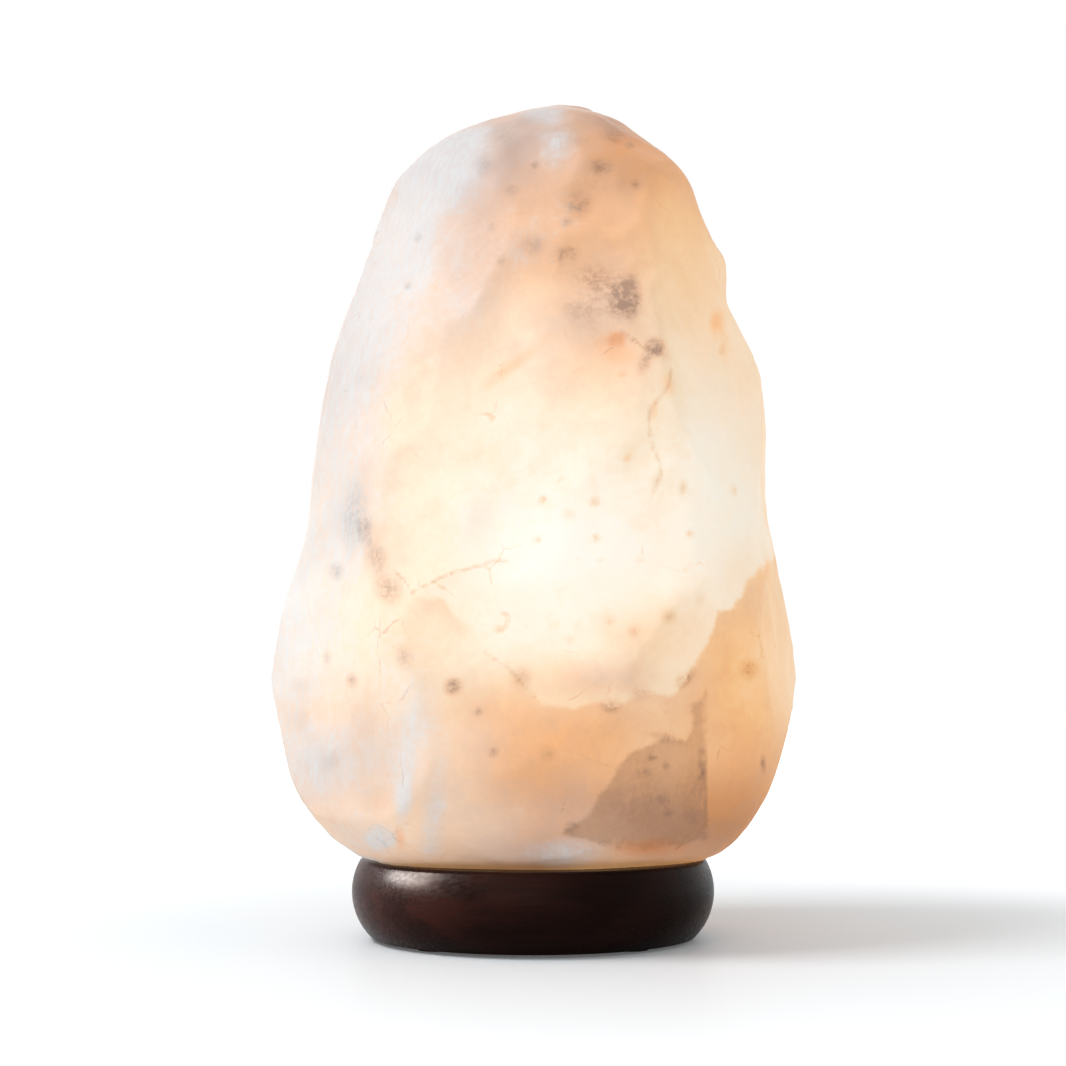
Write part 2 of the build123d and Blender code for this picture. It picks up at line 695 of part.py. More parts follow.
def bulb_stem():
    """Glass foot of the bulb: a flare sealed to the neck, a tube, and the pinch round the wires."""
    flare, outer, inner = stem_flare_diameter / 2, stem_diameter / 2, stem_bore / 2
    wall = outer - inner
    flare_top = glass_bottom + stem_flare_height
    stem = at_bulb(
        (flare, glass_bottom), (outer, flare_top), (outer, stem_pinch_bottom), (0, stem_pinch_bottom),
        (0, stem_pinch_bottom - wall), (inner, stem_pinch_bottom - wall), (inner, flare_top),
        (flare - wall, glass_bottom))
    pinch = Box(stem_pinch_width, stem_pinch_thickness, stem_pinch_top - stem_pinch_bottom, align=up)
    stem += Pos(0, 0, bulb_tip + stem_pinch_bottom) * pinch
    return stem - bulb_leads(wire_diameter + 2 * fit_gap)


def bulb_filament():
    """Tungsten wire in an arch between the lead wires."""
    end, shoulder = wire_spread / 2, wire_spread / 4
    low = bulb_tip + wire_top + filament_diameter / 2
    high = low + filament_rise
    arch = [(-end, low), (-shoulder, high), (shoulder, high), (end, low)]
    return wire(arch, filament_bend, filament_diameter)


def bulb_support():
    """Wire post that holds up the middle of the filament."""
    top = wire_top + filament_rise - support_gap
    return rod(wire_diameter, bulb_tip + stem_pinch_top, bulb_tip + top)


# ---------------------------------------------------------------- the files
pieces = {
    "salt_crystal": salt_crystal(),
    "wooden_base": wooden_base(),
    "base_feet": feet(),
    "rock_screws": rock_screws(),
    "screw_plugs": screw_plugs(),
    "holder_cap": holder_cap(),
    "holder_body": holder_body(),
    "contact_carrier": contact_carrier(),
    "terminals": terminals(),
    "terminal_screws": terminal_screws(),
    "screw_shell": screw_shell(),
    "centre_contact": centre_contact(),
    "entry_nipple": entry_nipple(),
    "nipple_nut": nipple_nut(),
    "cord_bushing": cord_bushing(),
    "clip_bracket": clip_bracket(),
    "clip_wing_right": clip_wing(),
    "clip_wing_left": Rotation(0, 0, 180) * clip_wing(),
    "bulb_contact": bulb_contact(),
    "bulb_insulator": bulb_insulator(),
    "bulb_cap": bulb_cap(),
    "bulb_cement": bulb_cement(),
    "bulb_glass": bulb_glass(),
    "bulb_stem": bulb_stem(),
    "bulb_leads": bulb_leads(),
    "bulb_filament": bulb_filament(),
    "bulb_support": bulb_support(),
}

os.makedirs("parts", exist_ok=True)
for name, piece in pieces.items():
    export_step(piece, f"parts/{name}.step")
    print(name, "volume", round(piece.volume, 1))
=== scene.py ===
# %% [markdown]
# # A salt crystal lamp
# A rock of salt, hewn by hand and lit from inside, stands on a turned wooden base. The shapes
# come from the CAD model, which is loaded first as a fixed frame: each of its pieces is a mesh in
# metres that already stands where it belongs. This script gives them their finish, makes a few
# pieces again with more detail, and adds a floor, lamps and a camera.

# %% Load the frame
import math

import bpy
import numpy as np
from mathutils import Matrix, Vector, noise


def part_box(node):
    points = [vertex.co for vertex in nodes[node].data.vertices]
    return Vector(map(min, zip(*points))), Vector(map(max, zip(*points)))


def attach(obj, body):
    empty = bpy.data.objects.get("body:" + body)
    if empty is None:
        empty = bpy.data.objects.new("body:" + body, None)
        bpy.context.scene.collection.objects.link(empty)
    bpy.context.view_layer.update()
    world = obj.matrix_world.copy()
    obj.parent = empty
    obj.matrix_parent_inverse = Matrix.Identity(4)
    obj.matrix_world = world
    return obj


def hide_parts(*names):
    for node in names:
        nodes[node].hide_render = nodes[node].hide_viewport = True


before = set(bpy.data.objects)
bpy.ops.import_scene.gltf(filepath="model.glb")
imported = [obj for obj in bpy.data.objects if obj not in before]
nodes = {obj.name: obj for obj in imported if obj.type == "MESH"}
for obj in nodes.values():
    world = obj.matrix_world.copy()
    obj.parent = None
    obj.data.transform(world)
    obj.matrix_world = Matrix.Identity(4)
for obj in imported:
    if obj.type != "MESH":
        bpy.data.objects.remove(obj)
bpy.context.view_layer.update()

mm = 0.001


def into_scene(thing):
    """Links an object to the scene, which a new object needs before it shows."""
    bpy.context.scene.collection.objects.link(thing)
    return thing


def in_mm(box):
    """A box's lowest and highest corner, from metres to millimetres."""
    return [Vector(corner) / mm for corner in box]


# %% [markdown]
# ## The camera
# The photograph looks at the lamp from the front, a little upwards, from about four times its
# width away. That shows in the base, whose bottom edge is a flat curve. A long lens on a camera
# at that place gives the same curve and the same size, so no shift or crop is needed.

# %% Place the camera
camera_place = Vector((0, -620, 75)) * mm
camera_target = Vector((0, 0, 119)) * mm
camera_data = bpy.data.cameras.new("camera")
camera_data.lens = 70.6  # in mm, on the usual sensor 36 mm wide
camera = into_scene(bpy.data.objects.new("camera", camera_data))
camera.location = camera_place
looking = camera_target - camera_place
camera.rotation_euler = looking.to_track_quat("-Z", "Y").to_euler()
bpy.context.scene.camera = camera
bpy.context.scene.view_settings.view_transform = "Standard"
print("camera looks up by", round(math.degrees(math.atan2(looking.z, looking.y)), 1), "degrees")

# %% [markdown]
# ## Nodes with less typing
# A material is a small diagram of nodes. The helper below adds one node at a time to a diagram.
# What comes from another node is linked, and any other value is set. Effects that several
# materials use become node groups, which are diagrams with named inputs and outputs.


# %% A pen that draws node trees
class Pen:
    """Adds shader nodes to one tree."""

    def __init__(self, tree):
        self.tree = tree

    def join(self, value, socket):
        if isinstance(value, bpy.types.NodeSocket):
            self.tree.links.new(value, socket)
        else:
            socket.default_value = value

    def add(self, kind, inputs=None, **settings):
        made = self.tree.nodes.new("ShaderNode" + kind)
        for name, value in settings.items():
            setattr(made, name, value)
        for name, value in (inputs or {}).items():
            self.join(value, made.inputs[name])
        return made

    def maths(self, operation, *values, clamp=False):
        made = self.add("Math", operation=operation, use_clamp=clamp)
        for value, socket in zip(values, made.inputs):
            self.join(value, socket)
        return made.outputs[0]

    def times(self, first, second):
        return self.maths("MULTIPLY", first, second)

    def plus(self, value, share, base, clamp=False):
        """The base with a share of the value added."""
        return self.maths("MULTIPLY_ADD", value, share, base, clamp=clamp)

    def vector(self, operation, first, second):
        made = self.add("VectorMath", operation=operation)
        self.join(first, made.inputs[0])
        self.join(second, made.inputs[1])
        return made.outputs["Value" if operation == "LENGTH" else "Vector"]

    def step(self, value, low, high, to_low=0.0, to_high=1.0):
        """A soft step: to_low where the value is low, to_high where it is high."""
        made = self.add("MapRange", {
            "Value": value, "From Min": low, "From Max": high, "To Min": to_low, "To Max": to_high,
        }, interpolation_type="SMOOTHSTEP")
        return made.outputs["Result"]

    def mix(self, share, first, second, blend="MIX"):
        made = self.add("Mix", data_type="RGBA", blend_type=blend)
        for socket, value in {0: share, 6: first, 7: second}.items():
            self.join(value, made.inputs[socket])
        return made.outputs[2]

    def clouds(self, place, size, detail, roughness=0.55):
        """Soft noise between 0 and 1, with lumps of that size in metres."""
        made = self.add("TexNoise", {
            "Vector": place, "Scale": 1 / size, "Detail": detail, "Roughness": roughness})
        return made.outputs["Fac"]

    def place(self):
        """The point that is shaded, as the piece was modelled."""
        return self.add("TexCoord").outputs["Object"]

    def grey(self, value):
        """A grey as light as a number."""
        made = self.add("CombineColor", {"Red": value, "Green": value, "Blue": value})
        return made.outputs["Color"]

    def surface(self, inputs):
        """The usual surface shader, linked to the material's output."""
        shader = self.add("BsdfPrincipled", inputs)
        self.join(shader.outputs[0], self.add("OutputMaterial").inputs["Surface"])

    def group(self, name, **inputs):
        made = self.tree.nodes.new("ShaderNodeGroup")
        made.node_tree = bpy.data.node_groups[name]
        for label, value in inputs.items():
            self.join(value, made.inputs[label.replace("_", " ")])
        return made.outputs


def new_group(name, inputs, outputs):
    """An empty node group with named sockets. Returns a pen for it, its inputs and its outputs."""
    tree = bpy.data.node_groups.new(name, "ShaderNodeTree")
    for label, kind, value in inputs:
        socket = tree.interface.new_socket(label, in_out="INPUT", socket_type="NodeSocket" + kind)
        socket.default_value = value
    for label, kind in outputs:
        tree.interface.new_socket(label, in_out="OUTPUT", socket_type="NodeSocket" + kind)
    start = tree.nodes.new("NodeGroupInput")
    end = tree.nodes.new("NodeGroupOutput")
    return Pen(tree), start.outputs, end.inputs


def colour(red, green, blue):
    """A colour for a socket, from linear red, green and blue."""
    return (red, green, blue, 1.0)


print("pen ready")

# %% [markdown]
# ## Effects that several materials share
# - *Uneven tone* lightens and darkens a colour in soft lumps, because no real surface is one
#   colour.
# - *Fine grain* is the height of a faint roughness, for moulded plastic, cast metal, wood and
#   glass.
# - *Drawn lines* are long thin streaks along one direction, for rolled, drawn or turned metal and
#   for the pores of wood.
# - *Specks* are small round spots, each with its own strength.


# %% Uneven tone and fine grain
pen, given, out = new_group(
    "Uneven tone", [("Size", "Float", 0.01), ("Strength", "Float", 0.1)], [("Tone", "Float")])
lumps = pen.add("TexNoise", {
    "Vector": pen.place(), "Scale": pen.maths("DIVIDE", 1.0, given["Size"])})
spread = pen.times(pen.maths("SUBTRACT", lumps.outputs["Fac"], 0.5), 2.0)
pen.join(pen.plus(spread, given["Strength"], 1.0), out["Tone"])

pen, given, out = new_group("Fine grain", [("Size", "Float", 0.001)], [("Height", "Float")])
grain = pen.add("TexNoise", {
    "Vector": pen.place(), "Scale": pen.maths("DIVIDE", 1.0, given["Size"]), "Detail": 4.0})
pen.join(grain.outputs["Fac"], out["Height"])

# %% Drawn lines and specks
pen, given, out = new_group(
    "Drawn lines", [("Squeeze", "Vector", (1.0, 1.0, 1.0)), ("Size", "Float", 0.001)],
    [("Lines", "Float")])
squeezed = pen.vector("MULTIPLY", pen.place(), given["Squeeze"])
streaks = pen.add("TexNoise", {
    "Vector": squeezed, "Scale": pen.maths("DIVIDE", 1.0, given["Size"]), "Detail": 3.0})
pen.join(pen.step(streaks.outputs["Fac"], 0.35, 0.65), out["Lines"])

pen, given, out = new_group(
    "Specks", [("Size", "Float", 0.01), ("Share", "Float", 0.3), ("Radius", "Float", 0.2)],
    [("Mask", "Float")])
cells = pen.add("TexVoronoi", {
    "Vector": pen.place(), "Scale": pen.maths("DIVIDE", 1.0, given["Size"])})
fuzz = pen.times(pen.clouds(pen.place(), 1.2 * mm, 2.0), 0.25)
distance = pen.maths("ADD", cells.outputs["Distance"], fuzz)
spot = pen.step(distance, given["Radius"], pen.times(given["Radius"], 0.5))
draw = pen.add("SeparateColor", {"Color": cells.outputs["Color"]}).outputs["Red"]
chosen = pen.maths("LESS_THAN", draw, given["Share"])
speck = pen.times(pen.times(spot, chosen), pen.step(draw, given["Share"], 0.0))
pen.join(speck, out["Mask"])
print("shared effects:", [tree.name for tree in bpy.data.node_groups])

# %% [markdown]
# ## Floor, background and lamps
# The photograph has a plain white studio floor that runs into a white background. A lamp high on
# the left makes the soft shadow on the right. White here is the colour of the floor and of the
# world as the camera sees it, not more light: the floor glows a little, and only for rays from
# the camera.
#
# The base has a soft highlight on its left shoulder, from a lamp at the side. On the rock that
# lamp would drown the glow from inside, so it is linked to the base alone: a light's receiver
# collection names the objects that it lights.


# %% A world that is white to look at and dimmer as a lamp
def seen_rays(pen):
    """1 for rays that look, from the camera, a mirror or glass. 0 for rays that light."""
    path = pen.add("LightPath").outputs
    mirrored = pen.maths("MAXIMUM", path["Is Glossy Ray"], path["Is Transmission Ray"])
    return pen.maths("MAXIMUM", path["Is Camera Ray"], mirrored)


sky_fill = 0.42
world = bpy.data.worlds.new("white studio")
world.use_nodes = True
world.node_tree.nodes.clear()
pen = Pen(world.node_tree)
strength = pen.step(seen_rays(pen), 0.0, 1.0, sky_fill, 1.0)
sky = pen.add("Background", {"Color": colour(1, 1, 1), "Strength": strength})
pen.join(sky.outputs[0], pen.add("OutputWorld").inputs["Surface"])
bpy.context.scene.world = world
print("world fill:", sky_fill)


# %% The floor
def new_material(name):
    """A material with an empty tree. Returns the material and a pen for it."""
    made = bpy.data.materials.new(name)
    made.use_nodes = True
    made.node_tree.nodes.clear()
    return made, Pen(made.node_tree)


floor_half = 3.0
floor_mesh = bpy.data.meshes.new("floor")
floor_mesh.from_pydata(
    [(-floor_half, -floor_half, 0), (floor_half, -floor_half, 0),
     (floor_half, floor_half, 0), (-floor_half, floor_half, 0)], [], [(0, 1, 2, 3)])
floor = into_scene(bpy.data.objects.new("floor", floor_mesh))
floor_paint, pen = new_material("white floor")
floor_mesh.materials.append(floor_paint)
floor_distance = pen.vector("LENGTH", pen.place(), (0, 0, 0))
far_glow = pen.step(floor_distance, 0.05, 0.60, 0.10, 1.0)
glimmer = pen.times(pen.add("LightPath").outputs["Is Camera Ray"], far_glow)
pen.surface({
    "Base Color": colour(0.85, 0.895, 0.93), "Roughness": 0.5, "Specular IOR Level": 0.15,
    "Emission Color": colour(1, 1, 1), "Emission Strength": glimmer})
print("floor:", 2 * floor_half, "m wide")


# %% The lamps of the studio
def studio_lamp(name, place, target, side, watts):
    """A square soft box at a place, turned towards a target."""
    light = bpy.data.lights.new(name, "AREA")
    light.shape = "SQUARE"
    light.size = side
    light.energy = watts
    lamp = into_scene(bpy.data.objects.new(name, light))
    lamp.location = place
    lamp.rotation_euler = (Vector(target) - Vector(place)).to_track_quat("-Z", "Y").to_euler()
    return lamp


studio_lamp("key lamp", (-0.75, -0.35, 1.15), (0, 0, 0.10), 0.55, 10.0)
studio_lamp("front lamp", (-0.3, -1.6, 0.7), (0, 0, 0.12), 1.2, 4.5)
side_lamp = studio_lamp("side lamp", (-0.76, 0.00, 0.48), (-0.03, 0, 0.02), 0.47, 66.0)
only_base = bpy.data.collections.new("lit by the side lamp")
only_base.objects.link(nodes["wooden_base"])
side_lamp.light_linking.receiver_collection = only_base

# %% [markdown]
# ## The rock: its shape
# The CAD rock has the right outline, its broad chisel flats and its hollows, but between them it
# is as smooth as soap, and their edges are as sharp as cut glass. Sculpting it by hand would take
# an afternoon, and a displacement map needs a very fine mesh. The way taken here is to copy the
# mesh, rebuild it with small even faces (a voxel remesh), wear its edges round, and then to do in
# code what the mason did: strike off many small flats, each a plane that cuts off whatever stands
# above it. Some fine noise at the end leaves the worn, slightly melted look of salt.


# %% Rebuild the rock with even faces
def applied(piece):
    """Turns a piece's modifiers into mesh, in place."""
    graph = bpy.context.evaluated_depsgraph_get()
    mesh = bpy.data.meshes.new_from_object(piece.evaluated_get(graph))
    piece.modifiers.clear()
    piece.data = mesh


def numbers(mesh, kind):
    """The places or normals of a mesh's points as an array, with three numbers to a row."""
    values = np.empty(len(mesh.vertices) * 3)
    mesh.vertices.foreach_get(kind, values)
    return values.reshape(-1, 3)


grain_size = 1.1 * mm
rock = into_scene(bpy.data.objects.new("rock", nodes["salt_crystal"].data.copy()))
rock.data.materials.clear()
remesh = rock.modifiers.new("even faces", "REMESH")
remesh.mode = "VOXEL"
remesh.voxel_size = grain_size
applied(rock)
points = numbers(rock.data, "co")
print("points on the rock:", len(points))


# %% Where the rock may be struck
def smooth_step(value, low, high):
    """0 below low, 1 above high, and an S-curve between."""
    share = np.clip((value - low) / (high - low), 0, 1)
    return share * share * (3 - 2 * share)


foot_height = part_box("salt_crystal")[0][2]
cavity_radius = 23 * mm
cavity_top = foot_height + 146 * mm


def freedom_at(places):
    """1 on the outside of the rock, 0 in its cavity and on its sawn foot."""
    from_axis = np.hypot(places[:, 0], places[:, 1])
    above_cavity = smooth_step(places[:, 2], cavity_top, cavity_top + 6 * mm)
    outside = np.maximum(smooth_step(from_axis, cavity_radius + 3 * mm, cavity_radius + 12 * mm),
                         above_cavity)
    return outside * smooth_step(places[:, 2], foot_height + 0.2 * mm, foot_height + 3.5 * mm)


freedom = freedom_at(points)
print("points that may move:", int((freedom > 0.5).sum()))

# %% Wear the edges round
worn = rock.vertex_groups.new(name="worn")
levels = 10
for level in range(1, levels + 1):
    chosen = np.flatnonzero((freedom > (level - 1) / levels) & (freedom <= level / levels))
    worn.add(chosen.tolist(), level / levels, "REPLACE")
soften = rock.modifiers.new("worn edges", "SMOOTH")
soften.factor = 0.5
soften.iterations = 14
soften.vertex_group = "worn"
applied(rock)
rock.vertex_groups.clear()
points = numbers(rock.data, "co")
freedom = freedom_at(points)
axis_distance = np.hypot(points[:, 0], points[:, 1])
print("edges worn, points:", len(points))

# %% Strike off small flats
chooser = np.random.default_rng(11)
normals = numbers(rock.data, "normal")
outer = np.flatnonzero(freedom > 0.9)
smooth_points, smooth_normals = points.copy(), normals.copy()
strikes, swell, tilt = 230, 0.40 * mm, 0.05
points += swell * normals * freedom[:, None]
for _ in range(strikes):
    middle_index = chooser.choice(outer)
    middle, facing = points[middle_index], normals[middle_index]
    facing = facing + chooser.normal(0, tilt, 3)
    facing /= np.linalg.norm(facing)
    reach = chooser.uniform(8, 24) * mm
    bite = chooser.uniform(0.10, 0.50) * mm * (reach / (20 * mm)) ** 0.5
    offset = points - middle
    near = np.linalg.norm(offset, axis=1)
    proud = np.maximum(offset @ facing + bite, 0) * smooth_step(near, reach, 0.4 * reach) * freedom
    points -= proud[:, None] * facing
deepest = 0.9 * mm
moved = ((points - smooth_points) * smooth_normals).sum(axis=1)
points -= np.minimum(moved + deepest, 0)[:, None] * smooth_normals
print("flats struck:", strikes, "and held to", deepest / mm, "mm")

# %% Weather it with noise
heights_and_sizes = ((0.45, 17.0), (0.16, 6.0), (0.08, 2.4))  # in mm
lumps = np.empty(len(points))
for i, point in enumerate(points):
    place = Vector(point) / mm
    lumps[i] = sum(height * noise.noise(place / size) for height, size in heights_and_sizes)
points += (lumps * mm * freedom)[:, None] * normals
points[points[:, 2] < foot_height + 0.4 * mm, 2] = foot_height + 0.01 * mm
rock.data.vertices.foreach_set("co", points.ravel())
rock.data.update()
rock.data.shade_smooth()
normals = numbers(rock.data, "normal")
print("rock box:", np.round(points.min(axis=0) / mm, 1), np.round(points.max(axis=0) / mm, 1))

# %% [markdown]
# ## The rock: where its colours lie
# Salt isn't one colour. It grew in layers, some white and frosted, some peach with iron, and clay
# lies in it as grey smudges. Lit from inside, thin clear places near the bulb glow almost white,
# and the light turns from yellow to orange on its way through thicker ones. This layout belongs
# to the one rock in the photograph, so it is painted: each mark is a soft patch round a pixel of
# the photograph, laid on the points that the camera sees there. The painting is kept in the mesh
# as named attributes, one number for each point, and noise in the material gives it its ragged
# edges. The sides and back, which the photograph doesn't show, get marks of the same kinds at
# random. The frost is partly white salt and partly painted light: the upper left, where the key
# lamp falls, is painted whiter and bluer. The peach is partly peach salt and partly a painted
# glow: the right side, which the lamps reach less, is painted warmer. The frost of the left side
# and the peach of the right one run on round the corner, so that no seam shows there.


# %% What the photograph shows where
photo_side = 1066
to_camera = camera.rotation_euler.to_matrix().transposed()
in_camera = np.array([to_camera @ (Vector(point) - camera_place) for point in points])
pixel_scale = photo_side * camera_data.lens / camera_data.sensor_width
pixel_x = photo_side / 2 - pixel_scale * in_camera[:, 0] / in_camera[:, 2]
pixel_y = photo_side / 2 + pixel_scale * in_camera[:, 1] / in_camera[:, 2]
to_eye = np.array(camera_place) - points
to_eye /= np.linalg.norm(to_eye, axis=1)[:, None]
front = smooth_step((normals * to_eye).sum(axis=1), -0.08, 0.28)
front *= (axis_distance > cavity_radius + 2 * mm) | (points[:, 2] > cavity_top + 2 * mm)
print("rock in the picture, in pixels across:", round(pixel_x.min()), "to", round(pixel_x.max()))


# %% Brushes: a patch, a line and an area
def patch(x, y, wide, high, turn=0.0):
    """1 at a pixel, fading to 0 at an ellipse round it. turn leans it to the right, in degrees."""
    across, down = pixel_x - x, pixel_y - y
    lean = math.radians(turn)
    along = across * math.cos(lean) + down * math.sin(lean)
    over = -across * math.sin(lean) + down * math.cos(lean)
    return front * smooth_step(np.hypot(along / wide, over / high), 1.0, 0.0)


def patches(marks):
    """The sum of patches: each is x, y, width, height, its turn if it has one, and strength."""
    return sum(strength * patch(*ellipse) for *ellipse, strength in marks)


def line_distance(route):
    """Distance of each point from a broken line through pixels, in pixels."""
    nearest = np.full(len(points), np.inf)
    for (ax, ay), (bx, by) in zip(route, route[1:]):
        run_x, run_y = bx - ax, by - ay
        share = ((pixel_x - ax) * run_x + (pixel_y - ay) * run_y) / (run_x**2 + run_y**2)
        share = np.clip(share, 0, 1)
        across, down = pixel_x - ax - share * run_x, pixel_y - ay - share * run_y
        nearest = np.minimum(nearest, np.hypot(across, down))
    return nearest


def inside_area(corners):
    """Distance from an area's border in pixels: above 0 inside it and below 0 outside."""
    within = np.zeros(len(points), bool)
    for (ax, ay), (bx, by) in zip(corners, corners[1:] + corners[:1]):
        crosses = (ay > pixel_y) != (by > pixel_y)
        slope = (bx - ax) / (by - ay) if by != ay else 0.0
        within ^= crosses & (pixel_x < ax + slope * (pixel_y - ay))
    border = line_distance(corners + corners[:1])
    return np.where(within, border, -border)


face_distance = 560 * mm
pixels_per_mm = pixel_scale / face_distance * mm
print("pixels to a millimetre:", round(pixels_per_mm, 2))

# %% The layers' hard edges, the clay patch and the veins
glow_edge = [
    (270, 560), (330, 585), (400, 590), (412, 594), (424, 596), (444, 598), (452, 606), (457, 614),
    (469, 624), (484, 652), (508, 668), (524, 684), (540, 703), (575, 708), (600, 700), (613, 706),
    (645, 690), (671, 695), (679, 686), (687, 674), (691, 666), (702, 650), (709, 635), (713, 619),
    (716, 609), (734, 605), (744, 582), (762, 564), (800, 545)]
clay_area = [
    (560, 834), (578, 820), (591, 811), (595, 801), (603, 790), (611, 778), (616, 766), (630, 752),
    (650, 744), (667, 733), (675, 738), (685, 741), (691, 722), (688, 706), (697, 699), (706, 692),
    (706, 760), (706, 838), (680, 848), (620, 852)]
vein_routes = [
    [(396, 572), (404, 580), (412, 594), (422, 587), (432, 583), (440, 578), (457, 571),
     (483, 566), (493, 560), (507, 561)],
    [(671, 368), (669, 385), (661, 397), (650, 408), (648, 425), (652, 445), (660, 462),
     (660, 478), (653, 492)],
    [(622, 330), (636, 342), (648, 350)],
    [(501, 612), (509, 615), (507, 626), (499, 631)],
    [(706, 690), (706, 760), (706, 838)],
    [(484, 652), (508, 668), (540, 703)],
]
edge_down = pixel_y - np.interp(pixel_x, *zip(*glow_edge))
deep = 30
edge_mm = np.clip(np.sign(edge_down) * line_distance(glow_edge) / pixels_per_mm, -deep, deep)
waves = 6 * np.sin(points[:, 0] / (21 * mm)) + 6 * np.sin(points[:, 1] / (15 * mm) + 1)
back_edge = (86 + waves) * mm + 0.42 * points[:, 0]
edge_mm = front * edge_mm + (1 - front) * np.clip((back_edge - points[:, 2]) / mm, -deep, deep)
clay_bottom, bottom_blur = 850, 9
seen, far = front > 0.3, 12
clay_mm = np.minimum(inside_area(clay_area) / pixels_per_mm, (clay_bottom - pixel_y) / bottom_blur)
clay_mm = np.where(seen, np.clip(clay_mm, -far, far), -far)
vein_mm = np.minimum.reduce([line_distance(route) for route in vein_routes]) / pixels_per_mm
vein_mm = np.where(seen, np.clip(vein_mm, 0, far), far)
print("points in the clay patch:", int((clay_mm > 0).sum()))

# %% Marks strewn over the sides and back
behind = 1 - front


def strewn(count, smallest, largest, seed, faint, strong):
    """Soft round patches at random places on the faces that the photograph doesn't show."""
    draw = np.random.default_rng(seed)
    total = np.zeros(len(points))
    for _ in range(count):
        middle = points[draw.choice(outer)]
        stretch = draw.uniform(0.6, 1.6, 3)
        reach = draw.uniform(smallest, largest) * mm
        near = np.linalg.norm((points - middle) * stretch, axis=1) / reach
        total = np.maximum(total, draw.uniform(faint, strong) * smooth_step(near, 1.0, 0.0))
    return total * behind


print("behind:", int((behind > 0.5).sum()), "points")

# %% Stains of clay
stain = patches([
    (625, 298, 19, 32, 1.0), (606, 290, 46, 38, 20, 0.66), (634, 296, 12, 38, 0.55),
    (578, 312, 30, 20, 30, 0.42), (655, 347, 15, 15, 20, 0.95), (645, 362, 10, 22, 25, 0.55),
    (579, 205, 20, 20, 0.62), (566, 253, 18, 13, 0.53), (533, 246, 18, 16, 0.45),
    (601, 167, 19, 12, 0.5), (566, 222, 10, 8, 0.44), (613, 134, 17, 14, 0.56),
    (512, 190, 12, 9, 0.31), (505, 135, 20, 16, 0.38), (484, 165, 16, 18, 0.38),
    (354, 515, 19, 52, 8, 0.42), (366, 530, 12, 22, 5, 0.6), (336, 571, 12, 13, 0.47),
    (376, 556, 16, 26, -25, 0.55), (388, 588, 20, 26, -25, 0.65), (404, 657, 14, 20, -15, 0.4),
    (352, 681, 9, 10, 0.62), (327, 657, 7, 12, 0.35), (453, 687, 12, 13, -35, 0.69),
    (478, 712, 7, 7, 0.69), (521, 678, 16, 17, 0.5), (499, 629, 8, 7, 0.44),
    (493, 752, 8, 8, 0.65), (548, 754, 12, 12, 0.38), (750, 670, 16, 16, 0.6),
    (683, 681, 13, 10, -35, 0.75), (691, 674, 8, 12, 20, 0.56), (611, 707, 16, 10, 0.69),
    (669, 616, 12, 12, 0.5), (634, 631, 10, 10, 0.45), (609, 621, 8, 9, 0.35),
    (640, 693, 16, 12, 0.31), (763, 764, 4, 13, -5, 0.88), (652, 758, 8, 7, 0.62),
    (666, 766, 6, 6, 0.5), (645, 773, 13, 7, 0.44), (662, 801, 13, 9, 0.5), (669, 813, 8, 7, 0.56),
    (692, 817, 13, 10, 0.62), (703, 836, 8, 8, 0.5), (571, 827, 9, 9, 0.75),
    (702, 764, 6, 33, 0.56), (667, 738, 30, 8, 12, 0.5), (595, 502, 8, 8, 0.56),
    (543, 500, 6, 6, 0.75), (596, 538, 7, 7, 0.65), (538, 540, 7, 7, 0.53),
    (569, 515, 12, 10, 0.35), (683, 488, 7, 12, 0.45), (690, 534, 7, 7, 0.53),
    (734, 490, 6, 9, 0.5), (657, 480, 8, 8, 0.38), (501, 261, 6, 6, 0.62), (408, 286, 6, 6, 0.5),
    (418, 238, 6, 6, 0.56), (722, 350, 6, 10, 10, 0.44), (535, 165, 6, 6, 0.69),
    (636, 184, 7, 8, 0.62), (630, 145, 7, 6, 0.56), (492, 227, 6, 6, 0.44),
    (300, 685, 16, 12, 0.16), (297, 722, 20, 18, 0.16), (328, 762, 14, 14, 0.18),
    (370, 800, 20, 20, 0.14), (560, 262, 60, 40, 20, 0.22), (600, 180, 60, 40, 0.18),
    (700, 790, 30, 60, 0.2), (640, 800, 60, 40, 20, 0.22), (660, 350, 22, 10, 40, 0.35),
    (530, 120, 40, 20, 0.15), (466, 200, 26, 30, 0.16), (600, 560, 6, 5, 0.35),
    (560, 480, 5, 4, 0.35), (640, 560, 6, 5, 0.3), (700, 600, 8, 6, -30, 0.35),
    (570, 640, 8, 6, 0.25), (602, 330, 44, 34, 0.2), (617, 339, 14, 12, 0.25),
    (454, 686, 16, 12, -30, 0.25)])
stain = np.clip(stain + strewn(26, 6, 20, 3, 0.2, 0.7), 0, 1)
print("mean stain:", round(float(stain[outer].mean()), 3))
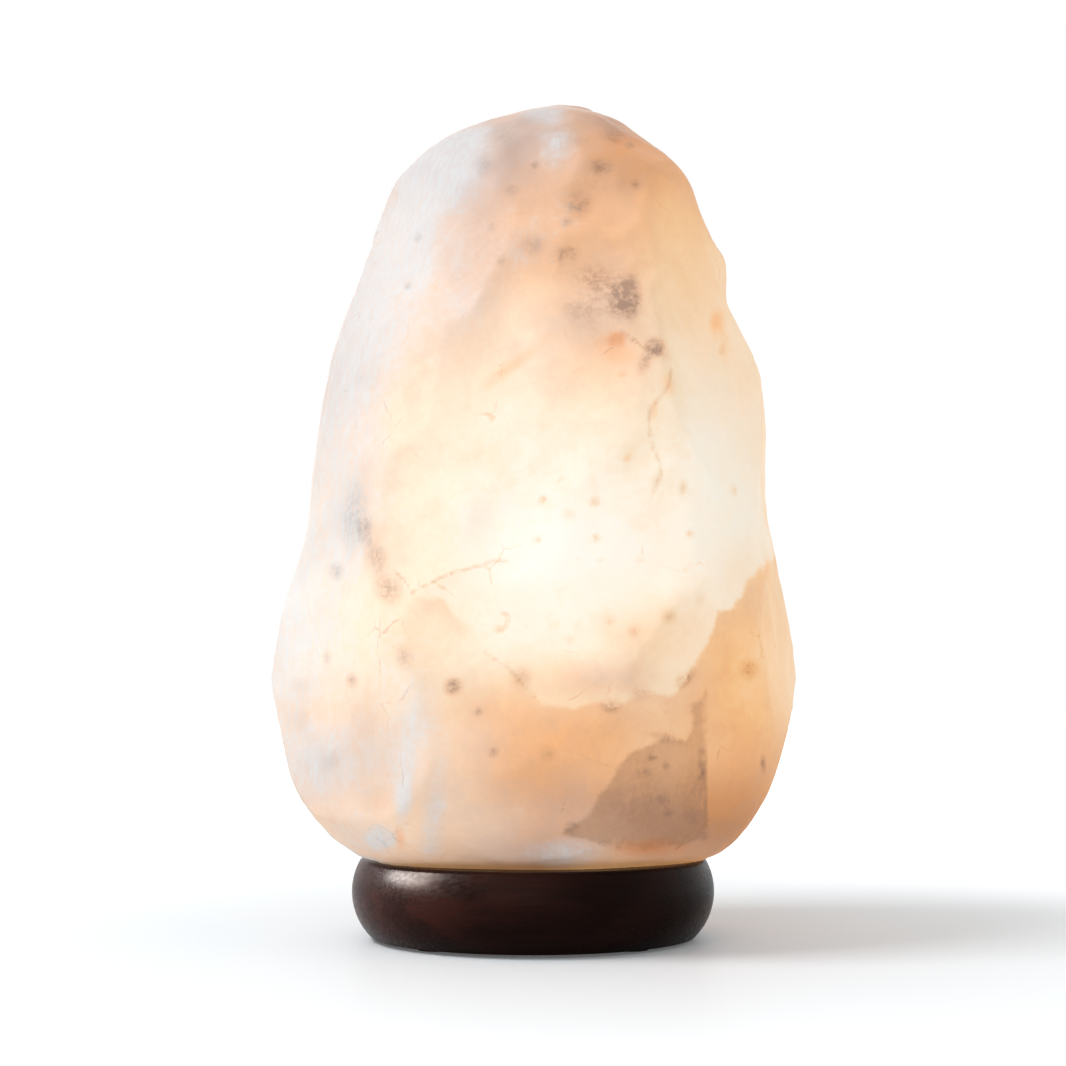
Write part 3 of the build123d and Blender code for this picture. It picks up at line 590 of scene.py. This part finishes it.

# %% White frost, partly painted light on the upper left
frost_and_painted_light = patches([
    (416, 225, 26, 90, 0.85), (440, 165, 72, 66, -15, 1.1), (470, 135, 50, 34, -25, 0.65),
    (556, 145, 40, 46, 10, 0.7), (540, 112, 44, 18, 0.8), (325, 430, 110, 320, 8, 0.8),
    (265, 660, 120, 220, 0.7), (445, 250, 80, 120, 10, 0.42), (350, 770, 90, 80, 0.5),
    (430, 735, 40, 60, 0.35), (348, 535, 30, 70, 0.4), (436, 806, 22, 84, 6, 0.58),
    (404, 800, 15, 40, 8, 0.62), (381, 838, 22, 18, 0.8), (404, 760, 30, 70, 0.4),
    (560, 854, 76, 26, 0.66), (520, 818, 36, 34, 10, 0.25), (375, 310, 60, 140, 10, 0.5),
    (420, 700, 34, 70, 10, 0.25), (600, 838, 60, 24, 0.22), (560, 288, 24, 40, 35, 0.2),
    (385, 650, 110, 190, 0.24), (400, 220, 80, 120, 0.26), (440, 345, 80, 90, 0.24),
    (480, 525, 80, 80, 0.26), (395, 480, 70, 80, 0.2), (390, 845, 100, 60, 0.34),
    (548, 222, 80, 60, 0.36), (520, 258, 60, 40, 0.28), (390, 685, 60, 80, 0.18),
    (345, 840, 50, 40, 0.26), (300, 770, 60, 70, 0.24), (478, 522, 50, 50, 0.24),
    (385, 215, 40, 60, 0.2), (480, 305, 50, 40, 0.22)])
# The left side, where the key lamp falls, is painted whiter: partly frost, partly painted light.
side_frost_and_painted_light = 0.65 * behind * smooth_step(-points[:, 0], 15 * mm, 55 * mm)
frost_and_painted_light = np.clip(frost_and_painted_light + side_frost_and_painted_light + strewn(12, 35, 80, 4, 0.3, 0.75), 0, 1)
print("mean frost:", round(float(frost_and_painted_light[outer].mean()), 3))

# %% Peach, partly a painted warm glow, and iron
peach_and_painted_glow = patches([
    (620, 210, 170, 160, 20, 0.6), (630, 140, 100, 60, 20, 0.5), (700, 250, 80, 150, -10, 0.5),
    (750, 710, 110, 200, 0.9), (570, 745, 170, 90, 0.7), (420, 650, 80, 70, 0.2),
    (755, 420, 70, 170, -8, 0.45), (680, 820, 180, 80, 0.75), (520, 240, 110, 120, 0.3),
    (600, 370, 90, 60, 0.35), (520, 785, 70, 70, 0.3), (500, 700, 70, 50, 10, 0.3),
    (550, 665, 70, 34, 0.25), (440, 705, 50, 40, 0.2), (655, 635, 80, 64, 0.42),
    (545, 840, 60, 40, 0.3), (705, 345, 60, 110, -8, 0.34), (750, 565, 44, 44, 0.25)])
# The right side, which the lamps reach less, is painted warmer: partly peach salt, partly painted
# glow.
side_peach_and_painted_glow = 0.5 * behind * smooth_step(points[:, 0], 15 * mm, 50 * mm)
side_peach_and_painted_glow *= smooth_step(points[:, 2], 150 * mm, 90 * mm)
peach_and_painted_glow = np.clip(peach_and_painted_glow + 0.35 * behind + side_peach_and_painted_glow + strewn(14, 25, 60, 5, 0.2, 0.6), 0, 1)
iron = patches([
    (617, 338, 15, 12, 1.0), (618, 352, 50, 30, 20, 0.4), (622, 375, 8, 7, 0.6),
    (716, 322, 13, 26, 12, 0.75), (725, 345, 10, 50, 0.35), (668, 385, 14, 26, -20, 0.5),
    (654, 410, 9, 22, 10, 0.55), (627, 459, 9, 9, 0.6), (632, 450, 9, 14, 20, 0.35),
    (634, 630, 8, 8, 0.55), (609, 621, 6, 8, 0.4), (750, 668, 15, 15, 0.3),
    (500, 375, 60, 16, -40, 0.45), (540, 345, 60, 20, -40, 0.3), (400, 838, 10, 26, -10, 0.6),
    (765, 575, 14, 50, 10, 0.45), (650, 848, 64, 18, 0.85), (380, 800, 30, 26, 0.35),
    (500, 561, 18, 10, 0.2), (620, 138, 30, 22, 25, 0.45), (520, 700, 50, 40, 20, 0.2)])
iron = np.clip(iron + strewn(18, 8, 30, 6, 0.1, 0.6), 0, 1)
print("mean peach, iron:", [round(float(a[outer].mean()), 2) for a in (peach_and_painted_glow, iron)])

# %% How much of the bulb's light comes through
light_place = np.mean(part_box("bulb_filament"), axis=0)
path = np.linalg.norm(points - light_place, axis=1)
free_path, fading_path = 60 * mm, 75 * mm
light = np.exp(-np.maximum(path - free_path, 0) / fading_path)
light += patches([
    (580, 530, 170, 130, 0.22), (750, 440, 130, 210, 0.42), (710, 250, 110, 150, 0.42),
    (770, 660, 130, 150, 0.55), (320, 400, 130, 330, -0.3), (470, 290, 90, 160, -0.2),
    (470, 150, 120, 90, -0.25), (540, 800, 180, 90, -0.3), (700, 830, 150, 80, -0.4),
    (600, 335, 80, 60, -0.15), (300, 600, 70, 90, 0.1), (560, 120, 120, 50, -0.1),
    (430, 560, 130, 200, -0.15), (355, 755, 130, 110, -0.25), (480, 720, 70, 60, -0.15),
    (500, 310, 70, 60, 0.12), (470, 880, 280, 60, -0.35), (590, 680, 110, 36, -0.28),
    (560, 320, 60, 40, -0.12), (745, 755, 80, 70, -0.22), (615, 118, 50, 30, 25, -0.1),
    (570, 805, 60, 50, -0.12), (545, 845, 70, 34, -0.16), (395, 572, 50, 40, -0.08)])
light = np.clip(light, 0.02, 1.4)
layer_power = patches([
    (760, 650, 150, 170, 1.1), (600, 725, 170, 90, 0.6), (450, 600, 60, 40, 30, 0.5)])
layer_power = np.clip(0.05 + layer_power, 0, 1) * front + 0.6 * behind
paintings = {"stain": stain, "frost_and_painted_light": frost_and_painted_light, "peach_and_painted_glow": peach_and_painted_glow, "iron": iron, "light": light,
             "edge": edge_mm, "layer_power": layer_power, "clay": clay_mm, "vein": vein_mm}
for name, values in paintings.items():
    layer = rock.data.attributes.new(name, "FLOAT", "POINT")
    layer.data.foreach_set("value", values.astype(np.float32))
print("light through the rock:", round(float(light.min()), 2), "to", round(float(light.max()), 2))

# %% [markdown]
# ## The rock: its material
# The painted numbers are too soft to look like stone. Here noise of four sizes is added to them
# before a step makes them crisp, so every mark gets a ragged border. The colour of the salt goes
# to Base Color, where the studio lamps light it, and the bulb's light, tinted by its way through
# the salt, goes to Emission Color. Hairline cracks are the borders between the cells of a Voronoi
# texture, and show only where broad noise lets them.


# %% Noise that bends and breaks the painting
salt, pen = new_material("rock salt")
bend = pen.add("TexNoise", {"Vector": pen.place(), "Scale": 1 / (14 * mm), "Detail": 3.0})
shift = pen.vector("SUBTRACT", bend.outputs["Color"], (0.5, 0.5, 0.5))
shift = pen.vector("MULTIPLY", shift, Vector((10, 10, 10)) * mm)
place = pen.vector("ADD", pen.place(), shift)
broad = pen.maths("SUBTRACT", pen.clouds(place, 26 * mm, 4.0), 0.5)
middling = pen.maths("SUBTRACT", pen.clouds(place, 7 * mm, 5.0, 0.6), 0.5)
small = pen.maths("SUBTRACT", pen.clouds(place, 2.0 * mm, 4.0, 0.65), 0.5)
fine = pen.maths("SUBTRACT", pen.clouds(pen.place(), 0.8 * mm, 2.0, 0.6), 0.5)
fibres = pen.group("Drawn lines", Squeeze=(1.0, 1.0, 0.22), Size=1.7 * mm)["Lines"]


def painted(pen, name):
    """A number painted on the mesh, by the name of its attribute."""
    return pen.add("Attribute", attribute_name=name, attribute_type="GEOMETRY").outputs["Fac"]


def ragged(pen, name, middling_share, small_share):
    """A painted number with noise added, in its own unit."""
    value = pen.plus(middling, middling_share, painted(pen, name))
    return pen.plus(small, small_share, value)


print("noise ready")

# %% Masks of the salt
below_edge = ragged(pen, "edge", 4.0, 2.5)
fading = pen.step(below_edge, deep, 2.0, 0.45, 1.0)
layer = pen.times(pen.times(pen.step(below_edge, -0.5, 1.4), fading), painted(pen, "layer_power"))
clay = pen.step(ragged(pen, "clay", 3.0, 2.0), -0.5, 1.2)
clay = pen.times(clay, pen.step(pen.maths("ADD", middling, small), -0.3, 0.3, 0.70, 1.0))
vein_width = pen.maths("ABSOLUTE", ragged(pen, "vein", 1.6, 1.4))
vein = pen.times(pen.step(vein_width, 0.9, 0.1), pen.step(middling, -0.2, 0.15, 0.15, 1.0))
stain_soft = pen.times(painted(pen, "stain"), pen.step(small, -0.20, 0.18, 0.42, 1.32))
stain_soft = pen.times(stain_soft, pen.step(middling, -0.2, 0.2, 0.70, 1.20))
flecks = pen.times(fine, stain_soft)
stained = pen.plus(flecks, 0.9, stain_soft, clamp=True)
# Frost mask: white salt layers, and on the upper left also painted lamp light.
frosted_and_painted_light = pen.step(ragged(pen, "frost_and_painted_light", 0.8, 0.5), 0.15, 0.95)
frosted_and_painted_light = pen.times(frosted_and_painted_light, pen.step(fibres, 0.0, 1.0, 0.75, 1.0))
rusty = pen.step(ragged(pen, "iron", 0.7, 0.4), 0.10, 0.90)
# Peach mask: peach salt, and on the right side also a painted warm glow.
peachy_and_painted_glow = pen.plus(broad, 0.4, painted(pen, "peach_and_painted_glow"))
peachy_and_painted_glow = pen.plus(layer, 0.30, peachy_and_painted_glow)
peachy_and_painted_glow = pen.plus(middling, 0.35, peachy_and_painted_glow, clamp=True)
print("masks ready")

# %% The salt's own colour
specks = pen.group("Specks", Size=9 * mm, Share=0.30, Radius=0.13)["Mask"]
dots = pen.group("Specks", Size=4 * mm, Share=0.14, Radius=0.18)["Mask"]
cracks = pen.add(
    "TexVoronoi", {"Vector": place, "Scale": 1 / (17 * mm)}, feature="DISTANCE_TO_EDGE")
crack_width = pen.plus(small, 0.03, cracks.outputs["Distance"])
hairline = pen.times(pen.step(crack_width, 0.022, 0.002), pen.step(broad, 0.0, 0.14))
hairline = pen.times(hairline, pen.step(middling, -0.05, 0.12, 0.0, 0.42))
dirt = pen.maths("MAXIMUM", stained, pen.times(pen.maths("MAXIMUM", specks, dots), 0.45))
dirt = pen.maths("MAXIMUM", dirt, hairline)
# The salt colour runs from pink to peach; the peach is partly a painted warm glow.
salt_colour = pen.mix(peachy_and_painted_glow, colour(0.50, 0.43, 0.40), colour(0.50, 0.26, 0.13))
# The bluish white of the frost is partly painted lamp light on the upper left.
for mask, share, shade in (
        (frosted_and_painted_light, 0.90, (0.63, 0.63, 0.645)), (clay, 0.75, (0.36, 0.23, 0.15)),
        (rusty, 0.55, (0.56, 0.25, 0.10)), (vein, 0.60, (0.22, 0.15, 0.11)),
        (dirt, 0.62, (0.19, 0.135, 0.105))):
    salt_colour = pen.mix(pen.times(mask, share), salt_colour, colour(*shade))
print("salt colour ready")

# %% The light that comes through it
through = pen.times(painted(pen, "light"), 0.8)
for mask, share in ((layer, -0.42), (broad, 0.7), (middling, 0.45), (small, 0.22), (dirt, -0.62),
                    (frosted_and_painted_light, -0.20), (clay, -0.38), (vein, -0.12), (rusty, -0.10)):
    through = pen.times(through, pen.plus(mask, share, 1.0))
through = pen.maths("MAXIMUM", through, 0.0, clamp=True)
tint = pen.add("ValToRGB", {"Fac": through})
stops = tint.color_ramp.elements
stops[0].position, stops[0].color = 0.0, colour(0.02, 0.006, 0.002)
stops[1].position, stops[1].color = 1.0, colour(0.57, 0.59, 0.52)
for position, shade in ((0.16, (0.14, 0.055, 0.018)), (0.32, (0.32, 0.16, 0.06)),
                        (0.48, (0.48, 0.28, 0.12)), (0.64, (0.56, 0.43, 0.25)),
                        (0.80, (0.60, 0.53, 0.40))):
    stops.new(position).color = colour(*shade)
# Where the peach mask is, the glow is tinted orange: partly painted glow.
salt_light = pen.mix(peachy_and_painted_glow, tint.outputs["Color"], colour(1.0, 0.78, 0.58), "MULTIPLY")
# Frosted places glow milky white; on the upper left this is partly painted light.
milky = pen.mix(through, colour(0, 0, 0), colour(0.46, 0.45, 0.41))
salt_light = pen.mix(pen.times(frosted_and_painted_light, 0.85), salt_light, milky)
salt_light = pen.mix(pen.times(rusty, 0.8), salt_light, colour(1.0, 0.68, 0.38), "MULTIPLY")
height = pen.plus(small, 0.5, middling)
height = pen.plus(pen.times(fibres, frosted_and_painted_light), 0.5, height)
bump = pen.add("Bump", {"Strength": 0.30, "Distance": 0.5 * mm, "Height": height})
roughness = pen.step(middling, -0.3, 0.3, 0.42, 0.66)
pen.surface({
    "Base Color": salt_colour, "Roughness": roughness, "Specular IOR Level": 0.35,
    "Emission Color": salt_light, "Emission Strength": 1.0, "Normal": bump.outputs["Normal"]})
rock.data.materials.append(salt)
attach(rock, "stand")
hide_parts("salt_crystal")
print("rock finished")

# %% [markdown]
# ## The wooden base
# A disc turned from dark stained hardwood, with a thin satin lacquer. The CAD piece has the right
# shape, so it stays and only gets a finish. The disc was sawn from a plank, so the grain runs
# straight through it from side to side, and the finish draws that grain. Turning left faint rings
# round the axis, which the finish doesn't draw.


# %% Dark stained wood
wood, pen = new_material("dark wood")
pores = pen.group("Drawn lines", Squeeze=(0.05, 1.0, 1.0), Size=0.9 * mm)["Lines"]
figure = pen.group("Drawn lines", Squeeze=(0.08, 1.0, 1.0), Size=7 * mm)["Lines"]
tone = pen.group("Uneven tone", Size=22 * mm, Strength=0.35)["Tone"]
wood_colour = pen.mix(figure, colour(0.0052, 0.0014, 0.0010), colour(0.012, 0.0031, 0.0022))
wood_colour = pen.mix(pen.times(pores, 0.35), wood_colour, colour(0.004, 0.002, 0.0018))
wood_colour = pen.mix(1.0, wood_colour, pen.grey(tone), "MULTIPLY")
wood_grain = pen.group("Fine grain", Size=1.4 * mm)["Height"]
wood_height = pen.plus(wood_grain, 0.6, pores)
wood_bump = pen.add("Bump", {"Strength": 0.06, "Distance": 0.15 * mm, "Height": wood_height})
wood_rough = pen.step(pores, 0.0, 1.0, 0.25, 0.34)
pen.surface({
    "Base Color": wood_colour, "Roughness": wood_rough, "Specular IOR Level": 0.075,
    "Specular Tint": colour(0.80, 0.60, 0.52), "Normal": wood_bump.outputs["Normal"]})


def dress(name, material):
    """Gives a CAD piece a material. Its object's slot is used, so the mesh stays as it is."""
    for slot in nodes[name].material_slots:
        slot.link = "OBJECT"
        slot.material = material


dress("wooden_base", wood)
print("base dressed")

# %% [markdown]
# ## Felt, plastic, metal and porcelain
# The small pieces inside differ in colour, gloss and the direction of their marks. One function
# builds these finishes from the shared groups, so that each is one line of values.


# %% One function for the plain finishes
def finish(name, shade, roughness, metallic=0.0, tone=0.12, tone_size=6 * mm, grain=0.6 * mm,
           relief=0.10, lines=None, specular=0.5):
    """A material of one colour with uneven tone, uneven gloss and a fine relief.

    lines squeezes the marks along one direction, for drawn or rolled metal.
    """
    made, pen = new_material(name)
    uneven = pen.group("Uneven tone", Size=tone_size, Strength=tone)["Tone"]
    if lines:
        marks = pen.group("Drawn lines", Squeeze=lines, Size=grain)["Lines"]
    else:
        marks = pen.group("Fine grain", Size=grain)["Height"]
    gloss = pen.step(marks, 0.0, 1.0, roughness - 0.06, roughness + 0.06)
    bump = pen.add("Bump", {"Strength": relief, "Distance": grain / 4, "Height": marks})
    toned = pen.mix(1.0, colour(*shade), pen.grey(uneven), "MULTIPLY")
    pen.surface({
        "Base Color": toned, "Roughness": gloss, "Metallic": metallic,
        "Specular IOR Level": specular, "Normal": bump.outputs["Normal"]})
    return made


around_z = (1.0, 1.0, 12.0)
black_plastic = finish("black plastic", (0.022, 0.022, 0.024), 0.34, grain=0.5 * mm)
white_plastic = finish("white plastic", (0.72, 0.70, 0.65), 0.45)
nylon = finish("nylon", (0.45, 0.45, 0.43), 0.55)
porcelain = finish("porcelain", (0.72, 0.69, 0.62), 0.25, tone=0.06)
cement = finish("cement", (0.50, 0.46, 0.37), 0.85, grain=0.3 * mm, relief=0.5)
felt = finish("felt", (0.030, 0.026, 0.023), 0.95, tone=0.4, tone_size=1.2 * mm, grain=0.35 * mm,
              relief=0.9, specular=0.1)
black_glass = finish("black glass", (0.010, 0.010, 0.014), 0.12, tone=0.2)
print("plain finishes made")

# %% Metals
brass = finish("brass", (0.62, 0.42, 0.15), 0.32, 1.0, lines=(1, 1, 6))
shell_brass = finish("shell brass", (0.66, 0.50, 0.22), 0.30, 1.0, lines=around_z)
zinc = finish("zinc", (0.55, 0.54, 0.50), 0.36, 1.0, tone=0.2, tone_size=2.5 * mm)
screw_steel = finish("screw steel", (0.50, 0.47, 0.40), 0.38, 1.0, tone=0.2, tone_size=2 * mm)
spring_steel = finish("spring steel", (0.38, 0.38, 0.40), 0.34, 1.0, tone=0.18,
                      lines=(0.1, 1, 0.1))
solder = finish("solder", (0.58, 0.58, 0.59), 0.40, 1.0, tone=0.2, tone_size=1.5 * mm)
aluminium = finish("cap aluminium", (0.70, 0.70, 0.70), 0.30, 1.0, lines=around_z)
nickel = finish("nickel wire", (0.52, 0.50, 0.46), 0.30, 1.0, lines=(1, 1, 0.1))
print("metals made")


# %% Glass and the glowing wire
def glass(name, shade, roughness):
    """Clear glass with a breath of unevenness in its surface."""
    made, pen = new_material(name)
    waves = pen.group("Fine grain", Size=9 * mm)["Height"]
    bump = pen.add("Bump", {"Strength": 0.06, "Distance": 0.4 * mm, "Height": waves})
    pen.surface({
        "Base Color": colour(*shade), "Roughness": roughness, "IOR": 1.5,
        "Transmission Weight": 1.0, "Normal": bump.outputs["Normal"]})
    return made


clear_glass = glass("clear glass", (0.98, 0.985, 0.985), 0.02)
stem_glass = glass("stem glass", (0.92, 0.95, 0.94), 0.08)
glowing, pen = new_material("glowing wire")
heat = pen.group("Uneven tone", Size=2 * mm, Strength=0.25)["Tone"]
glow_colour = pen.mix(pen.step(heat, 0.8, 1.2), colour(1.0, 0.62, 0.26), colour(1.0, 0.80, 0.48))
pen.surface({
    "Base Color": colour(0.35, 0.33, 0.30), "Roughness": 0.4, "Metallic": 1.0,
    "Emission Color": glow_colour, "Emission Strength": 6.0})
print("glass made")

# %% Dress every piece that stays
finishes = {
    "base_feet": felt, "rock_screws": screw_steel, "screw_plugs": nylon,
    "holder_cap": black_plastic, "holder_body": black_plastic, "contact_carrier": porcelain,
    "terminals": brass, "terminal_screws": screw_steel, "screw_shell": shell_brass,
    "centre_contact": brass, "entry_nipple": zinc, "nipple_nut": zinc,
    "cord_bushing": white_plastic, "clip_bracket": spring_steel, "clip_wing_left": spring_steel,
    "clip_wing_right": spring_steel, "bulb_contact": solder, "bulb_insulator": black_glass,
    "bulb_cap": aluminium, "bulb_cement": cement, "bulb_glass": clear_glass,
    "bulb_stem": stem_glass, "bulb_leads": nickel, "bulb_filament": glowing,
    "bulb_support": nickel}
for name, material in finishes.items():
    dress(name, material)
print("dressed:", len(finishes) + 1, "of", len(nodes), "CAD pieces")

# %% [markdown]
# ## The threads of the bulb and the lampholder
# In CAD the screw cap, the shell that it screws into and the cord's tube are plain, which is
# enough for motion. Here they get the threads that the hand and eye expect. A Screw modifier
# could wind one, but then the two mating threads would be hard to match. Instead each piece is
# one skin: a section of rings from bottom to top on the outside and back down on the inside, and
# each ring is a circle whose radius swells and shrinks with its height and angle. The same
# formula serves cap and shell, so the cap's ridges lie in the shell's grooves, and stay there as
# the bulb turns and rises.

# %% The cap's and the shell's heights
cap_low, cap_high = in_mm(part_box("bulb_cap"))
shell_low, shell_high = in_mm(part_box("screw_shell"))
thread_pitch, rings_a_turn = 2.82, 14
thread_start = shell_high.z
crest_radius, root_radius = 6.90, 6.15
print("cap from", round(cap_low.z, 2), "and shell from", round(shell_low.z, 2), "mm up")


# %% A skin of rings
def knuckle(height, angle):
    """A round thread: 0 in its groove and 1 on its ridge. It climbs to the right."""
    return 0.5 + 0.5 * math.cos(math.tau * (height - thread_start) / thread_pitch - angle)


def sharp(height, angle):
    """A pointed thread of 1 mm pitch."""
    return abs(((height - angle / math.tau) % 1.0) * 2 - 1)


def skin(name, rings, replaced, body, material, segments=96, thread=knuckle):
    """A closed piece turned from rings, each given as radius, height and depth of thread.

    A radius or height may be a function of the angle.
    """
    turns = [math.tau * k / segments for k in range(segments)]
    places = []
    for radius, height, depth in rings:
        for angle in turns:
            here = radius(angle) if callable(radius) else radius
            here += depth * thread(height, angle) if depth else 0.0
            up = height(angle) if callable(height) else height
            places.append((here * math.cos(angle) * mm, here * math.sin(angle) * mm, up * mm))
    faces = []
    for ring in range(len(rings)):
        after = (ring + 1) % len(rings)
        for k in range(segments):
            next_k = (k + 1) % segments
            faces.append((ring * segments + k, ring * segments + next_k,
                          after * segments + next_k, after * segments + k))
    mesh = bpy.data.meshes.new(name)
    mesh.from_pydata(places, [], faces)
    mesh.validate()
    mesh.shade_smooth()
    mesh.set_sharp_from_angle(angle=math.radians(38))
    piece = into_scene(bpy.data.objects.new(name, mesh))
    mesh.materials.append(material)
    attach(piece, body)
    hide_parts(replaced)
    return piece


def thread_rings(radius, depth, heights, low, high, run):
    """Rings for skin, whose thread fades out towards two heights, over a run."""
    fades = np.clip(np.minimum(heights - low, high - heights) / run, 0, 1)
    return [(radius, float(height), depth * float(fade)) for height, fade in zip(heights, fades)]


print("rings ready")

# %% The bulb's cap, with its thread and its flared skirt
thread_low, thread_high = cap_low.z + 0.9, cap_low.z + 15.2
depth = crest_radius - root_radius
wall = 0.35
outside = [(5.25, cap_low.z, 0), (5.75, cap_low.z + 0.12, 0), (6.05, cap_low.z + 0.5, 0)]
heights = np.arange(thread_low, thread_high, thread_pitch / rings_a_turn)
outside += thread_rings(root_radius, depth, heights, thread_low, thread_high, 1.2)
outside += [(6.22, cap_low.z + 15.5, 0), (6.6, cap_low.z + 16.1, 0), (7.3, cap_low.z + 16.8, 0),
            (8.1, cap_low.z + 17.6, 0), (8.44, cap_low.z + 18.3, 0), (8.5, cap_low.z + 19.1, 0),
            (8.5, cap_high.z - 0.15, 0), (8.38, cap_high.z, 0)]
inside = [(radius - wall, height, share) for radius, height, share in outside[3:-2]]
inside = [(5.2, cap_low.z + 0.35, 0)] + inside + [(8.15, cap_high.z, 0)]
cap_piece = skin("threaded_cap", outside + inside[::-1], "bulb_cap", "bulb",
                 aluminium)
print("cap:", len(cap_piece.data.polygons), "faces")

# %% The shell that it screws into
gap, wall = 0.12, 0.45
inside = [(4.1, shell_low.z + wall, 0), (5.6, shell_low.z + wall, 0), (6.1, shell_low.z + 0.7, 0)]
thread_low = shell_low.z + 1.2
heights = np.arange(thread_low, shell_high.z - 0.2, thread_pitch / rings_a_turn)
inside += thread_rings(root_radius + gap, depth, heights, thread_low, shell_high.z + 2.0, 1.5)
inside.append((crest_radius + gap + 0.02, shell_high.z - 0.05, 0))
outside = [(4.1, shell_low.z, 0), (5.9, shell_low.z, 0), (6.5, shell_low.z + 0.45, 0)]
outside += [(radius + wall, height, share) for radius, height, share in inside[3:-1]]
outside.append((7.5, shell_high.z, 0))
shell_piece = skin("threaded_shell", outside + inside[::-1], "screw_shell", "holder",
                   shell_brass)
print("shell:", len(shell_piece.data.polygons), "faces")

# %% The tube for the cord and its nut
tube_low, tube_high = in_mm(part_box("entry_nipple"))
outside = [(4.03, tube_low.z, 0), (4.40, tube_low.z, 0)]
heights = np.arange(tube_low.z + 0.2, tube_high.z - 0.2, 0.125)
outside += thread_rings(4.42, 0.56, heights, tube_low.z, tube_high.z, 0.6)
outside += [(4.40, tube_high.z, 0), (4.03, tube_high.z, 0)]
skin("threaded_tube", outside, "entry_nipple", "holder", zinc, 72, sharp)


def hexagon(angle):
    """The outline of a hexagon of 14 mm across its flats."""
    return 7.0 / math.cos(angle % (math.pi / 3) - math.pi / 6)


nut_low, nut_high = in_mm(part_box("nipple_nut"))
face_radius, turned_off = 6.85, 0.55
rings = [(5.08, nut_low.z + 0.5, 0), (5.5, nut_low.z, 0), (face_radius, nut_low.z, 0),
         (hexagon, lambda a: nut_low.z + turned_off * (hexagon(a) - face_radius), 0),
         (hexagon, lambda a: nut_high.z - turned_off * (hexagon(a) - face_radius), 0),
         (face_radius, nut_high.z, 0), (5.5, nut_high.z, 0), (5.08, nut_high.z - 0.5, 0)]
nut_piece = skin("chamfered_nut", rings, "nipple_nut", "holder", zinc)
print("nut:", len(nut_piece.data.polygons), "faces")

# %% [markdown]
# ## The filament
# The wire that glows is wound into a coil much finer than a hair, and the coil hangs in an arch
# between the lead wires. A curve with a round bevel makes the wire, and its points run round the
# arch's middle line, which is the route of the plain wire in CAD.

# %% Wind the coil along the arch
wire_low, wire_high = in_mm(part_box("bulb_filament"))
corner_x, corner_z = 3.25, wire_high.z - 0.25
arch = [Vector((-6.5, 0, wire_low.z + 0.15)), Vector((-corner_x, 0, corner_z)),
        Vector((corner_x, 0, corner_z)), Vector((6.5, 0, wire_low.z + 0.15))]
runs = [(a, b, (b - a).length) for a, b in zip(arch, arch[1:])]
whole = sum(run[2] for run in runs)


def on_arch(share):
    """The place at a share of the arch's length."""
    left = share * whole
    for a, b, length in runs:
        if left <= length:
            return a.lerp(b, left / length)
        left -= length
    return arch[-1].copy()


coil_turns, around_turn, coil_radius = 46, 10, 0.19
coil_points = []
for k in range(coil_turns * around_turn + 1):
    share = k / (coil_turns * around_turn)
    middle = (on_arch(max(share - 0.05, 0)) + on_arch(min(share + 0.05, 1))
              + 2 * on_arch(share)) / 4
    ahead = (on_arch(min(share + 0.03, 1)) - on_arch(max(share - 0.03, 0))).normalized()
    aside = Vector((-ahead.z, 0, ahead.x))
    turn = math.tau * k / around_turn
    spoke = math.cos(turn) * aside + math.sin(turn) * Vector((0, 1, 0))
    coil_points.append(middle + coil_radius * spoke)
coil = bpy.data.curves.new("coiled_filament", "CURVE")
coil.dimensions = "3D"
spline = coil.splines.new("POLY")
spline.points.add(len(coil_points) - 1)
for point, place in zip(spline.points, coil_points):
    point.co = (*(place * mm), 1)
coil.bevel_depth = 0.055 * mm
coil.bevel_resolution = 2
coil.use_fill_caps = True
coiled = into_scene(bpy.data.objects.new("coiled_filament", coil))
coil.materials.append(glowing)
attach(coiled, "bulb")
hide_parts("bulb_filament")
print("filament:", coil_turns, "turns")
